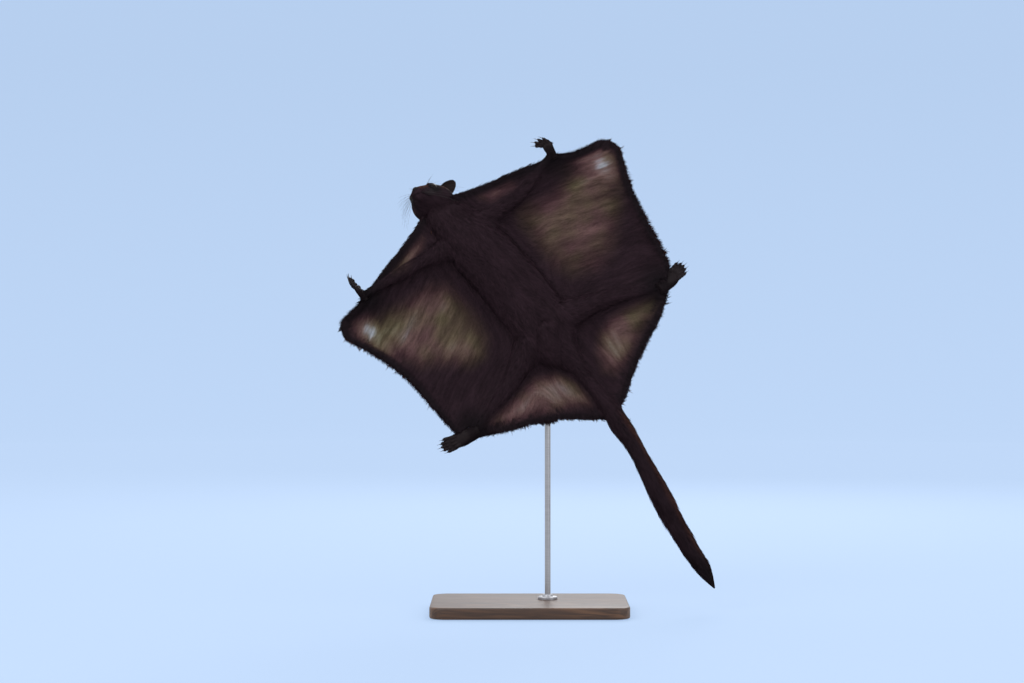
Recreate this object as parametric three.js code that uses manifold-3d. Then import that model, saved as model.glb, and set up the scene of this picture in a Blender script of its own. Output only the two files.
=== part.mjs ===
// A giant flying squirrel in a banked glide, life size, held up by a plain display stand.
// Millimetres. The part's frame has +Z up and its origin at the middle of the stand's underside.
// The animal is drawn flat in its own frame first: x forward to the nose, y to its left, z to its back.
// The bank then turns that frame upright, so that the belly faces -Y.
import * as THREE from "three";
import Module from "manifold-3d";
import { mergeVertices } from "three/addons/utils/BufferGeometryUtils.js";

const wasm = await Module();
wasm.setup();

// Clearance between solids that touch, and how the whole animal is held.
const GAP = 0.3;
const CLIMB_DEG = 48.4;
const BODY_CENTRE = [-30, 0, 540];

// Stand: a flat base, one rod up to the pelvis, and the collar at the rod's foot.
const BASE = { width: 340, depth: 230, height: 20, corner: 26, bevel: 3 };
const ROD = { x: 32, y: 20, radius: 5, top: 488 };
const COLLAR = { radius: 17, height: 9 };

// Trunk, neck and tail as rows of [forward, left, back, half width, height above, depth below].
const TORSO = [
  [154, 13, 0, 42, 31, 28],
  [118, 15, 0, 50, 37, 33],
  [70, 17, 0, 52, 39, 33],
  [20, 17, 0, 53, 40, 31],
  [-30, 14, 0, 53, 40, 30],
  [-70, 9, 0, 50, 38, 29],
  [-104, 7, 0, 40, 32, 25],
  [-132, 6, 0, 27, 23, 19],
  [-156, 6, 0, 18, 16, 14],
];
const NECK = [
  [146, 13, 0, 42, 31, 28],
  [160, 12, 1, 39.5, 30, 28],
  [176, 10, 3, 38, 29, 27],
  [192, 7, 6, 34, 27, 25],
  [206, 5, 7, 27, 22, 21],
];
const TAIL_BASE = [
  [-146, 6, 0, 18, 16, 14],
  [-182, 6, 0, 14, 13, 12],
  [-218, 5, 0, 13.5, 12.5, 12.5],
  [-254, 2.5, 0, 17, 14.5, 14.5],
  [-290, -4, 0, 15.5, 13.5, 13.5],
];
// The brush's rows hold the outer shape of its coat, and its core is this share of it.
const TAIL_COAT = [
  [-284, -3.5, 0, 17, 15, 15],
  [-320, -7, -1, 14.8, 13.8, 13.8],
  [-356, -15.5, -2.5, 14.6, 14.4, 14.4],
  [-392, -25, -3.5, 18, 17, 17],
  [-428, -34, -4, 19, 17, 17],
  [-464, -42.5, -3.5, 18.5, 17, 17],
  [-500, -51, -2, 17.5, 16, 16],
  [-536, -57.5, 1, 16, 15, 15],
  [-572, -62, 6, 13, 11, 11],
  [-608, -69.5, 10, 0.8, 0.8, 0.8],
];
const TAIL_CORE = 0.6;
const TAIL_LOCKS = { rings: 11, around: 6, first: 0.01, last: 0.84, span: 0.19, width: 12.5, scatter: 0.12 };
// Along a lock from root to tip: how far out in the coat it lies, its share of the width, and its thickness.
const LOCK = [
  { along: 0, out: 0.42, wide: 0.6, thick: 2.6 },
  { along: 0.5, out: 0.75, wide: 1, thick: 2.4 },
  { along: 1, out: 1, wide: 0.12, thick: 0.6 },
];

// Limb joints, [forward, left, back].
const ARM = {
  left: { shoulder: [138, 42, 0], elbow: [126, 120, -3], wrist: [142, 219, -4] },
  right: { shoulder: [140, -16, 0], elbow: [158, -96, -3], wrist: [176, -188, -4] },
};
const LEG = {
  left: { hip: [-74, 32, 0], knee: [-105, 120, -4], ankle: [-155, 208, -5] },
  right: { hip: [-76, -18, 0], knee: [-106, -97, -4], ankle: [-128, -199, -5] },
};
// Where hands and feet point, and how far their digits bend sideways from there, in degrees.
const HAND = {
  left: { forward: [0.98, 0.19, -0.12], up: [0, 0.45, 0.9], bend: -46 },
  right: { forward: [1, 0.05, -0.1], up: [0, -0.97, 0.25], bend: 0 },
};
const FOOT = {
  left: { forward: [0.02, 0.82, 0.5], up: [0, -0.5, 0.86], bend: 0 },
  right: { forward: [0.25, -0.97, 0.12], up: [0, 0, 1], bend: 6 },
};

// Half sizes along the limbs: [half width, height above, depth below].
const UPPER_ARM_GIRTH = [[24, 19, 18], [19, 16, 15], [14, 13, 12], [13.5, 12.5, 11.5]];
const FOREARM_GIRTH = [[13.5, 12.5, 11.5], [13, 11.5, 11], [10.5, 9.5, 9], [8, 7.2, 6.8], [7.6, 6.6, 6]];
const THIGH_GIRTH = [[33, 29, 24], [27, 24, 20], [20, 18, 16], [17, 15, 13.5]];
const SHANK_GIRTH = [[17, 15, 13.5], [15, 13, 12], [11, 10, 9], [9, 8, 7.5], [8.5, 7.5, 7]];

// Hands and feet in their own frames: x along, y to the left, z to the back of the hand.
const PALM = { length: 21, width: 9, thick: 4.6, heel: 6.4 };
const FINGERS = { turn: [-14, -4, 6, 16], length: [15, 19, 18.5, 14.5], radius: 2.3 };
const SOLE = { length: 50, width: 12.8, thick: 6.2, heel: 9.8 };
const TOES = { turn: [-6, -3, 0, 3, 6], length: [12, 16.5, 17, 16, 11], radius: 2.7 };
const CLAW = { length: 8, radius: 1.9, hook: 4.2 };

// Membranes. Each edge is a row of [forward, left, back] points, the free edges running outward or back.
const EDGE = {
  left: {
    lead: [[208, 38, 0], [193, 70, -5], [179, 104.4, -7], [164.5, 148.5, -8], [148.5, 191, -6], [142, 214, -4]],
    wing: [[142, 214, -4], [125.5, 244, 3], [116, 268.7, 10], [110.5, 292, 17], [103.5, 305, 20]],
    side: [[103.5, 305, 20], [85, 316, 22], [60.5, 312.5, 21], [21, 290.5, 15], [-30, 275, 8], [-81, 260.5, 1],
      [-130, 248.5, -4], [-148, 229, -5]],
    trail: [[-272, 5, 0], [-256, 37, 2], [-233, 79, 4], [-213, 123, 4], [-193.5, 172.5, 1], [-169, 214, -4]],
  },
  right: {
    lead: [[212, -25, 0], [204, -48, -4], [196.5, -80, -7], [190, -114, -8], [183.5, -150, -6], [176, -186, -4]],
    wing: [[176, -186, -4], [172, -204, 2], [171.5, -222, 8], [172, -239, 14], [167, -251.5, 17]],
    side: [[167, -251.5, 17], [152, -260, 19], [133, -262, 19], [99, -248.5, 14], [47, -232.3, 7], [-10, -227, 1],
      [-62, -228.5, -4], [-105, -228, -5]],
    trail: [[-272, -5, 0], [-251.7, -30.5, 2], [-220.5, -64, 4], [-191.5, -106.5, 4], [-165.5, -157.5, 0],
      [-135, -211, -4]],
  },
};
const SKIN_THICK = 3.6;
const RIM = { thick: 7, width: 15, lip: 1.6 };
const CAMBER = { side: 20, lead: 3, trail: 6 };
const SPAR = { root: 4.6, tip: 2.2 };

// Head in its own frame: nose tip at x = 0, the back of the head at negative x, z up to the crown.
const HEAD_PLACE = [251, 0.7, -27];
const HEAD_FORWARD = [0.63, -0.135, -0.765];
const HEAD_UP = [0.736, 0.419, 0.532];
const SKULL = [
  [0.5, 0, -0.5, 5.8, 5.4, 6.2],
  [-3.4, 0, -1, 10, 8.6, 9.6],
  [-8.7, 0, -1, 14, 12.2, 12.4],
  [-16.4, 0, -0.5, 18.3, 16.4, 15],
  [-25, 0, 0.5, 24, 20.4, 18],
  [-34.7, 0, 1.5, 30.5, 23.6, 21.5],
  [-45.4, 0, 1.5, 36.5, 25.6, 24.5],
  [-56, 0, 0.5, 39, 26, 26],
  [-66.6, 0, -1, 37.5, 25, 25.5],
  [-76, 0, -2, 32.5, 22, 22],
  [-83, 0, -3, 20.5, 14, 14],
];
const EYE = { place: [-27, 19.9, 8.2], radius: 7.4, facing: [0.42, 0.86, 0.28], lid: [0.8, 1.32, 1.18] };
const EAR = { place: [-59, 21, 13], height: 38, width: 12, thick: 1.8, up: [-0.48, 0.463, 0.733], cup: 7 };
const PAD = { place: [-9, 7, -4.8], size: [9.5, 8, 6.6] };
const CHIN = { place: [-13, 0, -10.8], size: [9.5, 8, 5.5] };
const NOSE = { place: [-0.3, 0, 2.2], size: [2.8, 4.3, 3.2] };
const NOSTRIL = { place: [1.6, 2.4, 1.6], size: [2.4, 1, 1.3] };
const MOUTH = { back: -21, height: -9.2, groove: 1 };

const up = new THREE.Vector3(0, 0, 1);
const vector = (row) => new THREE.Vector3(row[0], row[1], row[2]);
const mix = (a, b, t) => a + (b - a) * t;
const mirrored = (row, side) => [row[0], row[1] * side, row[2]];

// The smooth curve through rows of numbers, at t from 0 to 1.
function between(rows, t) {
  const last = rows.length - 1;
  const i = Math.min(Math.floor(t * last), last - 1);
  const f = t * last - i;
  const [a, b, c, d] = [i - 1, i, i + 1, i + 2].map((k) => rows[Math.min(Math.max(k, 0), last)]);
  return b.map((p, k) => {
    const linear = (c[k] - a[k]) * f;
    const square = (2 * a[k] - 5 * p + 4 * c[k] - d[k]) * f * f;
    const cube = (3 * p - a[k] - 3 * c[k] + d[k]) * f * f * f;
    return 0.5 * (2 * p + linear + square + cube);
  });
}

// A closed geometry as a solid whose faces point out.
function solid(geometry) {
  const bare = geometry.clone();
  bare.deleteAttribute("normal");
  bare.deleteAttribute("uv");
  const merged = mergeVertices(bare, 1e-4);
  const triVerts = new Uint32Array(merged.index.array);
  const vertProperties = merged.attributes.position.array;
  const make = () => new wasm.Manifold(new wasm.Mesh({ numProp: 3, vertProperties, triVerts }));
  const made = make();
  if (made.volume() > 0) return made;
  for (let i = 0; i < triVerts.length; i += 3) {
    [triVerts[i + 1], triVerts[i + 2]] = [triVerts[i + 2], triVerts[i + 1]];
  }
  return make();
}

// A closed skin over rings of points, each end shut at its middle.
function loft(rings) {
  const sides = rings[0].length;
  const points = rings.flat();
  const faces = [];
  rings.slice(1).forEach((_, r) => {
    for (let k = 0; k < sides; k++) {
      const [a, b] = [r * sides + k, r * sides + ((k + 1) % sides)];
      faces.push(a, b, b + sides, a, b + sides, a + sides);
    }
  });
  [rings[0], rings.at(-1)].forEach((ring, end) => {
    const middle = points.length;
    points.push(ring.reduce((sum, p) => sum.add(p), new THREE.Vector3()).divideScalar(sides));
    const first = end ? (rings.length - 1) * sides : 0;
    for (let k = 0; k < sides; k++) {
      const [a, b] = [first + k, first + ((k + 1) % sides)];
      faces.push(...(end ? [a, b, middle] : [b, a, middle]));
    }
  });
  const geometry = new THREE.BufferGeometry().setFromPoints(points);
  geometry.setIndex(faces);
  return solid(geometry);
}

const power = (value, squareness) => Math.sign(value) * Math.abs(value) ** squareness;

// One ring of a body, square to its direction, flattened by its three half sizes.
function ringAt(middle, direction, [wide, above, below], sides, squareness, turn = 0) {
  const side = new THREE.Vector3().crossVectors(up, direction).normalize();
  const back = new THREE.Vector3().crossVectors(direction, side);
  return Array.from({ length: sides }, (_, k) => {
    const angle = (2 * Math.PI * k) / sides + turn;
    const across = wide * power(Math.cos(angle), squareness);
    const along = (Math.sin(angle) > 0 ? above : below) * power(Math.sin(angle), squareness);
    return middle.clone().addScaledVector(side, across).addScaledVector(back, along);
  });
}

// Where a run of rows is at t, which way it goes there, and its sizes.
function placeOn(rows, t) {
  const row = between(rows, t);
  const ahead = vector(between(rows, Math.min(t + 0.01, 1)));
  const direction = ahead.sub(vector(between(rows, Math.max(t - 0.01, 0)))).normalize();
  return { middle: vector(row), direction, sizes: row.slice(3) };
}

// A limb, trunk or digit through rows of [x, y, z, half width, height above, depth below].
function body(rows, { sides = 14, steps = 12, grow = 0, squareness = 1 } = {}) {
  const rings = [];
  for (let i = 0; i <= steps; i++) {
    const { middle, direction, sizes } = placeOn(rows, i / steps);
    const end = i === 0 ? -grow : i === steps ? grow : 0;
    middle.addScaledVector(direction, end);
    rings.push(ringAt(middle, direction, sizes.map((size) => size + grow), sides, squareness));
  }
  return loft(rings);
}

// A repeatable draw between -1 and 1.
let drawn = 7;
function draw() {
  drawn = (drawn * 16807) % 2147483647;
  return (drawn / 2147483647) * 2 - 1;
}

// One flat lock of the tail's coat, from its root in the core back to its tip in the coat's outer shape.
function coatLock(start, angle, span, width) {
  return loft(LOCK.map(({ along, out, wide, thick }) => {
    const { middle, direction, sizes } = placeOn(TAIL_COAT, Math.min(start + span * along, 0.999));
    const turned = (by) => {
      const ring = ringAt(new THREE.Vector3(), direction, sizes, 1, 1, angle + by);
      return ring[0].multiplyScalar(out);
    };
    const outward = turned(0);
    const across = turned(0.05).sub(turned(-0.05)).normalize();
    const taper = Math.min(sizes[0] / 14, 1);
    const [half, deep] = [(width * wide * taper) / 2, (thick * taper) / 2];
    middle.add(outward);
    outward.normalize();
    return [[half, 0], [0, deep], [-half, 0], [0, -deep]].map(([w, d]) =>
      middle.clone().addScaledVector(across, w).addScaledVector(outward, d));
  }));
}

// The tail's brush: a core and rings of locks that overlap like tiles, out to the pointed tip.
function brushSolid(grow) {
  const core = TAIL_COAT.map((row) => [...row.slice(0, 3), ...row.slice(3).map((size) => size * TAIL_CORE)]);
  const middle = body(core, { sides: 8, steps: 11, grow });
  if (grow) return middle;
  const { rings, around, first, last, span, width, scatter } = TAIL_LOCKS;
  const locks = [];
  for (let ring = 0; ring < rings; ring++) {
    for (let k = 0; k < around; k++) {
      const start = mix(first, last, (ring + scatter * draw()) / (rings - 1));
      const angle = ((k + (ring % 2) / 2 + scatter * draw()) * 2 * Math.PI) / around;
      locks.push(coatLock(Math.max(start, first), angle, span * (1 + scatter * draw()), width));
    }
  }
  return joined([middle, ...locks]);
}

// Rows of a limb between two joints, with its girths spread evenly along it.
function limbRows(from, to, girths) {
  return girths.map((girth, i) => {
    const t = i / (girths.length - 1);
    return [...from.map((v, k) => mix(v, to[k], t)), ...girth];
  });
}

// The matrix that puts a piece's own frame at a place, its x along forward and its z near upward.
function frameAt(place, forward, upward) {
  const x = vector(forward).normalize();
  const z = vector(upward);
  z.addScaledVector(x, -z.dot(x)).normalize();
  const y = new THREE.Vector3().crossVectors(z, x);
  return new THREE.Matrix4().makeBasis(x, y, z).setPosition(...place);
}

const placed = (piece, matrix) => piece.transform(matrix.elements);
const joined = (pieces) => wasm.Manifold.union(pieces);

function ellipsoid(place, radii, detail = 10) {
  const geometry = new THREE.SphereGeometry(1, detail, Math.round(detail * 0.7));
  return solid(geometry.scale(...radii).translate(...place));
}

// A solid's largest closed surface.
function largest(piece) {
  return piece.decompose().sort((a, b) => b.volume() - a.volume())[0];
}

// Digits: a jointed tube with its pad, and a hooked claw.
function digit(start, turnDeg, length, radius, grow) {
  const turn = THREE.MathUtils.degToRad(turnDeg);
  const at = (s, z) => [start[0] + s * Math.cos(turn), start[1] + s * Math.sin(turn), start[2] + z];
  const even = (r) => [r, r * 0.95, r * 0.95];
  const flesh = [
    [...at(-5, -0.5), ...even(radius * 1.1)],
    [...at(length * 0.3, 0.9), ...even(radius)],
    [...at(length * 0.75, 0), ...even(radius * 1.06)],
    [...at(length, -0.8), ...even(radius * 0.6)],
  ];
  const { length: reach, radius: root, hook } = CLAW;
  const horn = [
    [...at(length * 0.8, 0.2), root * 0.8, root, root],
    [...at(length + reach * 0.5, 0), root * 0.5, root * 0.72, root * 0.72],
    [...at(length + reach, -hook), 0.3, 0.3, 0.3],
  ];
  return [
    body(flesh, { sides: 6, steps: 2, grow }),
    body(horn, { sides: 4, steps: 2, grow }),
  ];
}

// A hand or a foot: the palm or sole, and its row of digits, spread at the front.
function paw(palm, digits, bend, grow) {
  const { length, width, thick, heel } = palm;
  const flesh = [
    [-5, 0, 0, heel, heel * 0.85, heel * 0.85],
    [length * 0.2, 0, 0, mix(heel, width, 0.35), thick * 1.1, thick * 1.15],
    [length * 0.62, 0, 0, width * 0.97, thick * 0.95, thick],
    [length * 0.95, 0, 0, width * 0.92, thick * 0.6, thick * 0.62],
    [length * 1.04, 0, 0, width * 0.7, thick * 0.3, thick * 0.3],
  ];
  const count = digits.turn.length;
  const roots = digits.turn.map((turn, i) => {
    const across = mix(-1, 1, i / (count - 1)) * (width - digits.radius);
    const short = Math.abs(across / width) * length * 0.08;
    return digit([length * 0.96 - short, across, 0], turn + bend, digits.length[i], digits.radius, grow);
  });
  return joined([body(flesh, { sides: 8, steps: 4, grow }), ...roots.flat()]);
}

// The patch that four edges span: lead and trail run outward, inner and outer run back.
function patchPoint({ lead, trail, inner, outer }, u, v) {
  const [a, b, c, d] = [between(lead, u), between(trail, u), between(inner, v), between(outer, v)];
  const corners = [lead[0], lead.at(-1), trail[0], trail.at(-1)];
  return a.map((_, k) => {
    const edges = mix(a[k], b[k], v) + mix(c[k], d[k], u);
    const flat = mix(mix(corners[0][k], corners[1][k], u), mix(corners[2][k], corners[3][k], u), v);
    return edges - flat;
  });
}

// How thick a membrane is at this distance from its free edge: a lip, the furred rim, then the skin.
function thickAt(distance) {
  if (distance < RIM.width * 0.4) return mix(RIM.lip, RIM.thick, Math.sqrt(distance / (RIM.width * 0.4)));
  const fade = THREE.MathUtils.smoothstep(distance, RIM.width * 0.5, RIM.width * 1.3);
  return mix(RIM.thick, SKIN_THICK, fade);
}

// Steps from 0 to 1 that crowd towards the ends named close.
function steps(count, close) {
  return Array.from({ length: count + 1 }, (_, i) => {
    const t = i / count;
    if (close === "both") return 0.5 - 0.5 * Math.cos(Math.PI * t);
    if (close === "end") return Math.sin((Math.PI / 2) * t) ** 0.9;
    return close === "start" ? 1 - Math.sin((Math.PI / 2) * (1 - t)) ** 0.9 : t;
  });
}

// A membrane: two like faces over the patch, bowed to the back by camber, shut all round.
function membrane(edges, across, back, camber, freeEdges) {
  const rim = freeEdges.flatMap((edge) => steps(60, "even").map((t) => vector(between(edge, t)).setZ(0)));
  const sheets = [1, -1].map((face) =>
    back.map((v) => across.map((u) => {
      const point = vector(patchPoint(edges, u, v));
      const flat = point.clone().setZ(0);
      const distance = Math.min(...rim.map((p) => p.distanceTo(flat)));
      point.z += camber * Math.sin(Math.PI * Math.min(u * 1.08, 1)) * Math.sin(Math.PI * v);
      point.z += (face * thickAt(distance)) / 2;
      return point;
    })));
  const [rows, columns] = [back.length, across.length];
  const index = (face, r, c) => face * rows * columns + r * columns + c;
  const faces = [];
  const quad = (a, b, c, d) => faces.push(a, b, c, a, c, d);
  for (let r = 0; r + 1 < rows; r++) {
    for (let c = 0; c + 1 < columns; c++) {
      const corners = (face) => [index(face, r, c), index(face, r, c + 1), index(face, r + 1, c + 1),
        index(face, r + 1, c)];
      const [a, b, e, d] = corners(0);
      const [p, q, s, t] = corners(1);
      faces.push(a, e, b, a, d, e);
      faces.push(p, q, s, p, s, t);
    }
  }
  const loop = [];
  for (let c = 0; c + 1 < columns; c++) loop.push([0, c]);
  for (let r = 0; r + 1 < rows; r++) loop.push([r, columns - 1]);
  for (let c = columns - 1; c > 0; c--) loop.push([rows - 1, c]);
  for (let r = rows - 1; r > 0; r--) loop.push([r, 0]);
  loop.forEach((at, i) => {
    const next = loop[(i + 1) % loop.length];
    quad(index(0, ...at), index(0, ...next), index(1, ...next), index(1, ...at));
  });
  const geometry = new THREE.BufferGeometry().setFromPoints(sheets.flat(2));
  geometry.setIndex(faces);
  return solid(geometry);
}

// Head: the skull's loft, whisker pads, chin, brows and lids, less the sockets, nostrils and mouth.
function headSolid(grow) {
  const skull = body(SKULL, { sides: 20, steps: 16, grow, squareness: 0.93 });
  if (grow) return skull;
  const additions = [-1, 1].flatMap((side) => {
    const eye = frameAt(mirrored(EYE.place, side), mirrored(EYE.facing, side), [0, 0, 1]);
    const lids = ellipsoid([0, 0, 0], EYE.lid.map((share) => share * EYE.radius), 12);
    return [
      ellipsoid(mirrored(PAD.place, side), PAD.size, 10),
      placed(lids, eye),
    ];
  });
  const chin = ellipsoid(CHIN.place, CHIN.size, 10);
  const nose = ellipsoid(NOSE.place, NOSE.size, 8);
  const cuts = [-1, 1].flatMap((side) => {
    return [
      ellipsoid(mirrored(EYE.place, side), Array(3).fill(EYE.radius + GAP), 12),
      ellipsoid(mirrored(NOSTRIL.place, side), NOSTRIL.size, 8),
    ];
  });
  const { back, height, groove } = MOUTH;
  const lips = [
    [back, 18, height - 1.6], [-14, 14.5, height - 0.6], [-6, 11.8, height], [0, 6.5, height + 1.6],
    [1.4, 0, height + 2.2], [0, -6.5, height + 1.6], [-6, -11.8, height], [-14, -14.5, height - 0.6],
    [back, -18, height - 1.6],
  ].map((row) => [...row, groove * 2.2, groove, groove]);
  cuts.push(body(lips, { sides: 6, steps: 16 }));
  return joined([skull, chin, nose, ...additions]).subtract(joined(cuts));
}

// An ear: a cupped leaf with a rounded tip, its hollow facing out and forward.
function earSolid(side) {
  const { height, width, thick, cup } = EAR;
  const rings = steps(8, "even").map((t) => {
    const wide = width * Math.sqrt(Math.max(Math.sin(Math.PI * mix(0.2, 0.985, t)), 0.02));
    const curl = mix(1.15, 0.45, t);
    const rim = (face) => steps(5, "even").map((s) => {
      const across = (s * 2 - 1) * face;
      const hollow = cup * curl * (1 - across * across) * Math.min(wide / width, 1);
      const shell = (face > 0 ? 0 : thick) * (1 - 0.35 * across * across);
      return new THREE.Vector3(height * mix(-0.16, 1, t), wide * across, -hollow - shell);
    });
    return [...rim(1), ...rim(-1)];
  });
  const facing = [0.51, 0.86 * side, 0.05];
  return placed(loft(rings), frameAt(mirrored(EAR.place, side), mirrored(EAR.up, side), facing));
}

// The flat base with round corners and a bevelled edge.
function baseSolid() {
  const { width, depth, height, corner, bevel } = BASE;
  const [x, y] = [width / 2 - bevel, depth / 2 - bevel];
  const outline = new THREE.Shape();
  outline.moveTo(-x + corner, -y);
  outline.lineTo(x - corner, -y);
  outline.absarc(x - corner, -y + corner, corner, -Math.PI / 2, 0);
  outline.lineTo(x, y - corner);
  outline.absarc(x - corner, y - corner, corner, 0, Math.PI / 2);
  outline.lineTo(-x + corner, y);
  outline.absarc(-x + corner, y - corner, corner, Math.PI / 2, Math.PI);
  outline.lineTo(-x, -y + corner);
  outline.absarc(-x + corner, -y + corner, corner, Math.PI, 1.5 * Math.PI);
  const slab = new THREE.ExtrudeGeometry(outline, {
    depth: height - 2 * bevel, bevelThickness: bevel, bevelSize: bevel, bevelSegments: 1, curveSegments: 4,
  });
  return solid(slab.translate(0, 0, bevel));
}

function upright(radius, from, to, x, y, sides = 20) {
  const geometry = new THREE.CylinderGeometry(radius, radius, to - from, sides);
  return solid(geometry.rotateX(Math.PI / 2).translate(x, y, (from + to) / 2));
}

// The bank: forward climbs to the left of the view, the back turns to +Y.
const climb = THREE.MathUtils.degToRad(CLIMB_DEG);
const animal = new THREE.Group();
const forwardAxis = new THREE.Vector3(-Math.cos(climb), 0, Math.sin(climb));
const leftAxis = new THREE.Vector3(Math.sin(climb), 0, Math.cos(climb));
animal.quaternion.setFromRotationMatrix(
  new THREE.Matrix4().makeBasis(forwardAxis, leftAxis, new THREE.Vector3(0, 1, 0)),
);
animal.position.set(...BODY_CENTRE);
animal.updateMatrix();
const toAnimal = animal.matrix.clone().invert();

const COLOUR = {
  fur: { color: 0x4a2f27, roughness: 0.95 },
  membrane: { color: 0x7b655c, roughness: 0.9 },
  dark: { color: 0x1f1716, roughness: 0.8 },
  ear: { color: 0x2c201e, roughness: 0.85 },
  eye: { color: 0x0b0707, roughness: 0.12 },
  wood: { color: 0x4b3222, roughness: 0.55 },
  steel: { color: 0x8a8c90, roughness: 0.35, metalness: 1 },
};
const materials = Object.fromEntries(
  Object.entries(COLOUR).map(([name, look]) => [name, new THREE.MeshStandardMaterial(look)]),
);

// Each node keeps clear of the ones named before it by cutting itself with their grown shapes.
const root = new THREE.Group();
const cutters = new Map();

function addMesh(parent, name, piece, look) {
  const { vertProperties, triVerts, numProp } = piece.getMesh();
  const points = [];
  for (let i = 0; i < vertProperties.length; i += numProp) points.push(...vertProperties.slice(i, i + 3));
  const geometry = new THREE.BufferGeometry();
  geometry.setAttribute("position", new THREE.Float32BufferAttribute(points, 3));
  geometry.setIndex([...triVerts]);
  geometry.computeVertexNormals();
  const mesh = new THREE.Mesh(geometry, materials[look]);
  mesh.name = name;
  parent.add(mesh);
}

const rodHole = placed(upright(ROD.radius + GAP, 0, ROD.top + GAP, ROD.x, ROD.y), toAnimal);

function addNode(name, look, build, clearOf = []) {
  const cuts = clearOf.map((other) => cutters.get(other));
  const piece = build(0).subtract(joined([rodHole, ...cuts]));
  addMesh(animal, name, largest(piece), look);
  cutters.set(name, build(GAP));
}

const headFrame = frameAt(HEAD_PLACE, HEAD_FORWARD, HEAD_UP);
addNode("torso", "fur", (grow) => body(TORSO, { sides: 18, steps: 13, grow }));
addNode("head", "fur", (grow) => placed(headSolid(grow), headFrame));
addNode("neck", "fur", (grow) => body(NECK, { sides: 18, steps: 6, grow }), ["torso", "head"]);

for (const [name, side] of [["left", 1], ["right", -1]]) {
  const eye = () => placed(ellipsoid(mirrored(EYE.place, side), Array(3).fill(EYE.radius), 12), headFrame);
  addNode("eye_" + name, "eye", eye);
  addNode("ear_" + name, "ear", () => placed(earSolid(side), headFrame), ["head", "neck"]);

  const { shoulder, elbow, wrist } = ARM[name];
  const { hip, knee, ankle } = LEG[name];
  const limb = (from, to, girths, steps) => (grow) =>
    body(limbRows(from, to, girths), { sides: 11, steps, grow });
  addNode("upper_arm_" + name, "fur", limb(shoulder, elbow, UPPER_ARM_GIRTH, 5), ["torso", "neck"]);
  addNode("forearm_" + name, "fur", limb(elbow, wrist, FOREARM_GIRTH, 6), ["upper_arm_" + name]);
  addNode("thigh_" + name, "fur", limb(hip, knee, THIGH_GIRTH, 5), ["torso"]);
  addNode("shank_" + name, "fur", limb(knee, ankle, SHANK_GIRTH, 6), ["thigh_" + name]);
  const extremity = (palm, digits, end, plan) => {
    const frame = frameAt(end, plan.forward, plan.up);
    return (grow) => placed(paw(palm, digits, plan.bend, grow), frame);
  };
  addNode("hand_" + name, "dark", extremity(PALM, FINGERS, wrist, HAND[name]), ["forearm_" + name]);
  addNode("foot_" + name, "dark", extremity(SOLE, TOES, ankle, FOOT[name]), ["shank_" + name]);
}

addNode("tail_base", "fur", (grow) => body(TAIL_BASE, { sides: 14, steps: 8, grow }), ["torso"]);
addNode("tail_brush", "fur", brushSolid, ["tail_base"]);

for (const name of ["left", "right"]) {
  const { shoulder, elbow, wrist } = ARM[name];
  const { hip, knee, ankle } = LEG[name];
  const { lead, wing, side, trail } = EDGE[name];
  const near = (part) => part + "_" + name;
  const arm = [near("upper_arm"), near("forearm"), near("hand")];
  const leg = [near("thigh"), near("shank"), near("foot")];
  const spine = (forward) => [forward, TORSO[4][1], 0];

  const neckSide = [lead[0], [180, lead[0][1] * 0.6 + 6, 0], shoulder];
  const propatagium = { lead, trail: [shoulder, elbow, wrist], inner: neckSide, outer: [wrist, wrist] };
  addNode(near("propatagium"), "membrane",
    () => membrane(propatagium, steps(9, "even"), steps(3, "start"), CAMBER.lead, [lead]),
    ["torso", "neck", "head", ...arm]);

  const spar = wing.map((row, i) => {
    const radius = mix(SPAR.root, SPAR.tip, i / (wing.length - 1));
    return [row[0] - 3, row[1] - 3 * Math.sign(row[1]), row[2], radius, radius, radius];
  });
  const flank = [spine(130), spine(60), spine(0), spine(-80)];
  const patagium = {
    lead: [flank[0], shoulder, elbow, ...wing], trail: [flank.at(-1), hip, knee, ankle, side.at(-1)],
    inner: flank, outer: side,
  };
  addNode(near("patagium"), "membrane", () => joined([
    membrane(patagium, steps(11, "end"), steps(10, "both"), CAMBER.side, [wing, side]),
    body(spar, { sides: 8, steps: 8 }),
  ]), ["torso", "neck", ...arm, ...leg, near("propatagium")]);

  const uropatagium = {
    lead: [spine(-84), hip, knee, ankle], trail, inner: [spine(-84), spine(-150), [-227, 11, 0], trail[0]],
    outer: [ankle, trail.at(-1)],
  };
  addNode(near("uropatagium"), "membrane",
    () => membrane(uropatagium, steps(11, "even"), steps(5, "end"), CAMBER.trail, [trail]),
    ["torso", "tail_base", ...leg, near("patagium")]);
}

addMesh(root, "stand_base", baseSolid(), "wood");
addMesh(root, "stand_rod", upright(ROD.radius, BASE.height + GAP, ROD.top, ROD.x, ROD.y), "steel");
const collar = upright(COLLAR.radius, BASE.height + GAP, BASE.height + COLLAR.height, ROD.x, ROD.y, 24);
addMesh(root, "stand_collar", collar.subtract(upright(ROD.radius + GAP, 0, BASE.height * 2, ROD.x, ROD.y)), "steel");
root.add(animal);

export default root;
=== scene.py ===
import math

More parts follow.
